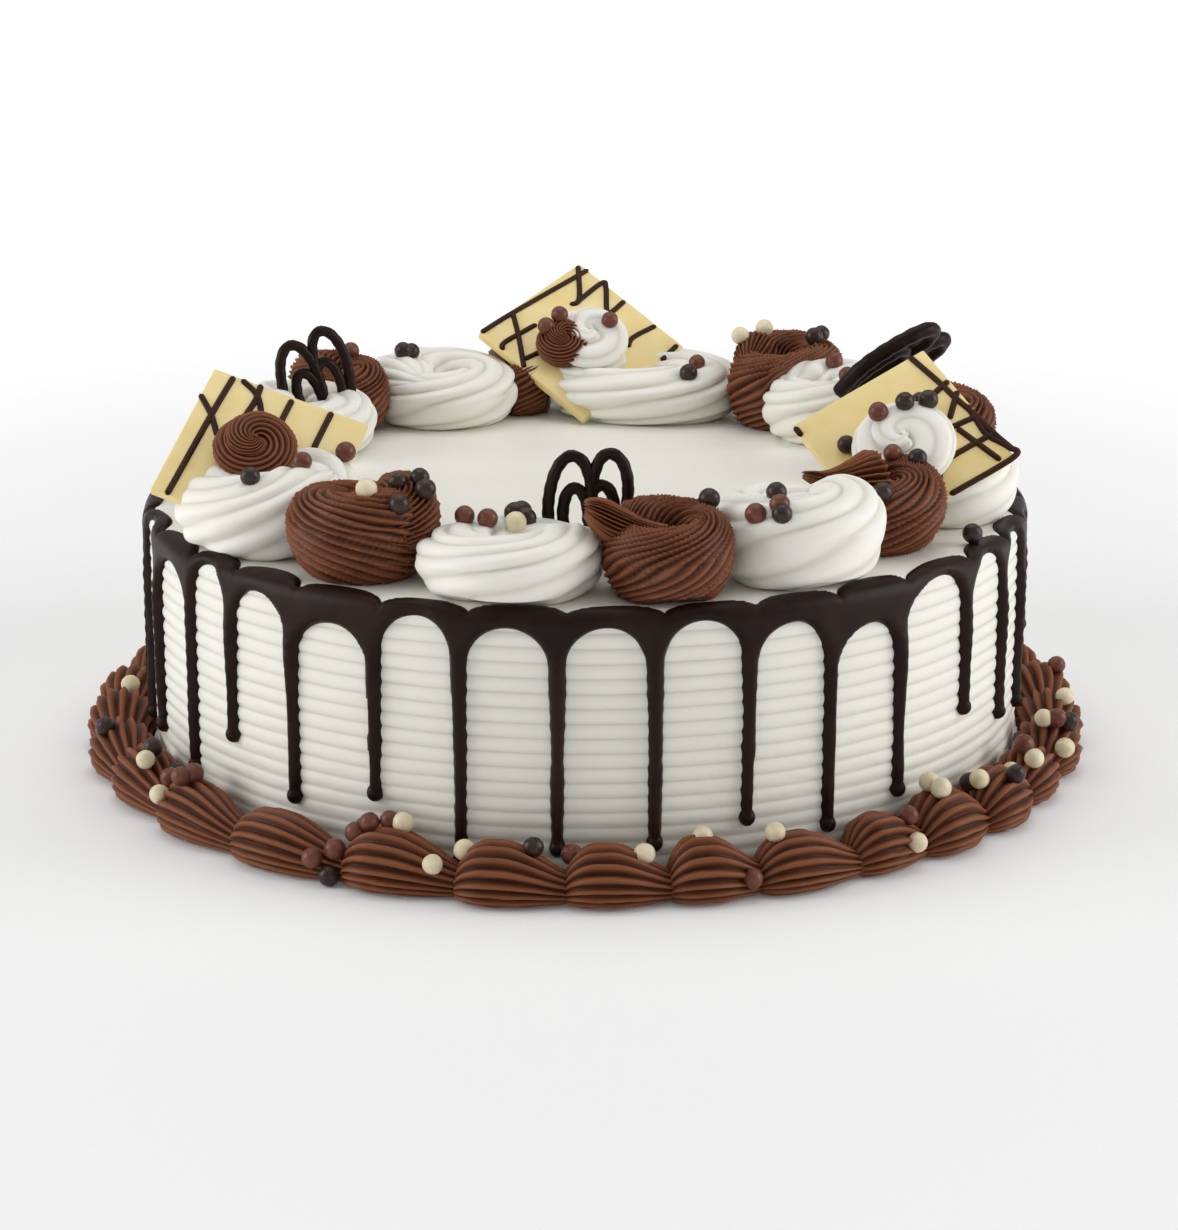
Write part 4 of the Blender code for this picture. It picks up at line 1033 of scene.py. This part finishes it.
def make_pearls(pieces, materials):
    """Crisp pearls in white, milk and dark chocolate, strewn where the toppings and the border hold them."""
    tree = surfaces_of(pieces)
    draw = random.Random(21)
    centres = {rosette.name: rosette.centre for rosette in rosettes()}
    for name, (square, spot, _, _, _) in DOLLOPS.items():
        lift = Matrix.Translation((spot[0] * MM, spot[1] * MM, 0.5 * SQUARE_THICKNESS))
        centres[name] = (square_frame(square)[1] @ lift).translation
    spots = []
    for name, offsets in TOP_PEARLS.items():
        sunk = SUNK["white" if "white" in name else "brown"]
        for kind, x, y in offsets:
            spots.append((kind, settle(tree, centres[name].x + x * MM, centres[name].y + y * MM, sunk)))
    for kind, angle, distance in LOOSE_TOP_PEARLS:
        place = polar(angle, distance * MM)
        spots.append((kind, settle(tree, place.x, place.y, SUNK["loose"])))
    around = list(BORDER_PEARLS)
    first, last = BACK_PEARL_ANGLES
    step = (last - first) / BACK_PEARL_COUNT
    for k in range(BACK_PEARL_COUNT):
        kind = draw.choice(("white", "milk", "dark"))
        around.append((kind, first + (k + draw.uniform(0.1, 0.9)) * step, draw.uniform(*BORDER_PEARL_RANGE)))
    for kind, angle, distance in around:
        place = polar(angle, distance * MM)
        spots.append((kind, settle(tree, place.x, place.y, SUNK["border"])))
    slots = {"white": "white_chocolate", "milk": "brown_icing", "dark": "dark_chocolate"}
    for kind, slot in slots.items():
        shape = new_shape()
        for number, place in enumerate(place for found, place in spots if found == kind):
            radius = PEARL_RADIUS * draw.uniform(0.94, 1.04)
            ball = bmesh.ops.create_icosphere(shape, subdivisions=3, radius=radius,
                                              matrix=Matrix.Translation(place))["verts"]
            for vertex in ball:
                away = (vertex.co - place).normalized()
                vertex.co += away * 0.07 * MM * waver(*(away * 1.8 + Vector((number * 3.7, 0.0, 0.0))))
        new_piece(f"crisp_pearls_{kind}", shape, materials[kind], slot)


def make_stage():
    """A plain pale floor."""
    shape = bmesh.new()
    bmesh.ops.create_grid(shape, x_segments=1, y_segments=1, size=6.0)
    mesh = bpy.data.meshes.new("floor")
    shape.to_mesh(mesh)
    shape.free()
    # Seamless studio paper: white and matt, lit further off by lamps of its own, so that it stays white
    material, tree, shader, place = new_material("studio_paper", {
        "Base Color": linear("#f4f4f4"), "Roughness": 0.9, "Specular IOR Level": 0.1,
        "Emission Color": linear("#ffffff")})
    distance = add_node(tree, "ShaderNodeVectorMath", {"operation": "LENGTH"}, {0: place})
    glow = add_node(tree, "ShaderNodeMapRange", {"interpolation_type": "SMOOTHSTEP"}, {
        "Value": distance.outputs["Value"], "From Min": 0.17, "From Max": 1.0, "To Min": 0.05,
        "To Max": 0.72})
    tree.links.new(glow.outputs["Result"], shader.inputs["Emission Strength"])
    mesh.materials.append(material)
    floor = bpy.data.objects.new("floor", mesh)
    bpy.context.scene.collection.objects.link(floor)


def add_light(name, place, aim, width, height, power):
    """A soft box at a place, aimed at a point."""
    lamp = bpy.data.lights.new(name, "AREA")
    lamp.shape = "RECTANGLE"
    lamp.size = width
    lamp.size_y = height
    lamp.energy = power
    item = bpy.data.objects.new(name, lamp)
    item.location = place
    item.rotation_euler = (Vector(aim) - Vector(place)).to_track_quat("-Z", "Y").to_euler()
    bpy.context.scene.collection.objects.link(item)


def make_light():
    """Two soft boxes at the sides, a broad one above and a bright even studio round them."""
    scene = bpy.context.scene
    world = bpy.data.worlds.new("studio")
    world.use_nodes = True
    world.node_tree.nodes["Background"].inputs["Color"].default_value = linear("#ffffff")
    world.node_tree.nodes["Background"].inputs["Strength"].default_value = STUDIO_STRENGTH
    scene.world = world
    scene.view_settings.view_transform = "Standard"
    add_light("soft_box_left", (-1.0, -0.16, 0.42), (0.0, 0.0, 0.04), 0.6, 0.7, SIDE_POWER)
    add_light("soft_box_right", (1.0, -0.12, 0.42), (0.0, 0.0, 0.04), 0.6, 0.7, SIDE_POWER)
    add_light("soft_box_above", (0.0, 0.2, 1.1), (0.0, 0.0, 0.05), 1.0, 0.8, ABOVE_POWER)


def make_camera():
    """The camera at the photograph's angle."""
    lens = bpy.data.cameras.new("camera")
    lens.lens = FOCAL_LENGTH
    lens.clip_start = 0.01
    camera = bpy.data.objects.new("camera", lens)
    camera.location = CAMERA_PLACE
    camera.rotation_euler = (Vector(CAMERA_AIM) - Vector(CAMERA_PLACE)).to_track_quat("-Z", "Y").to_euler()
    bpy.context.scene.collection.objects.link(camera)
    bpy.context.scene.camera = camera


def main():
    white = whipped_icing()
    brown = chocolate_buttercream()
    icings = {"white": white, "brown": brown}
    drip = poured_chocolate("dark_chocolate_poured", "#1b0e08", "#2a1910", 0.40)
    piped = poured_chocolate("dark_chocolate_piped", "#190e09", "#281912", 0.36)
    drizzle = poured_chocolate("dark_chocolate_drizzle", "#2c160b", "#3f2413", 0.42)
    pearls = {"white": crisp_pearl("pearl_white_chocolate", "#dccda8", "#eee2c4"),
              "milk": crisp_pearl("pearl_milk_chocolate", "#62352a", "#7a4a38"),
              "dark": crisp_pearl("pearl_dark_chocolate", "#2c1e18", "#40302a")}
    make_camera()
    pieces = [make_body(white), make_drip(drip), make_border(brown)]
    everyone = rosettes()
    pieces += [make_rosette(rosette, everyone, icings[rosette.icing]) for rosette in everyone]
    plates = white_chocolate()
    for name in SQUARES:
        make_square(name, plates, drizzle)
    pieces += [bpy.data.objects[f"square_{name}"] for name in SQUARES]
    pieces += [make_dollop(name, icings[DOLLOPS[name][4]]) for name in DOLLOPS]
    for name in FILIGREES:
        make_filigree(name, piped)
    make_pearls(pieces, pearls)
    make_stage()
    make_light()


main()
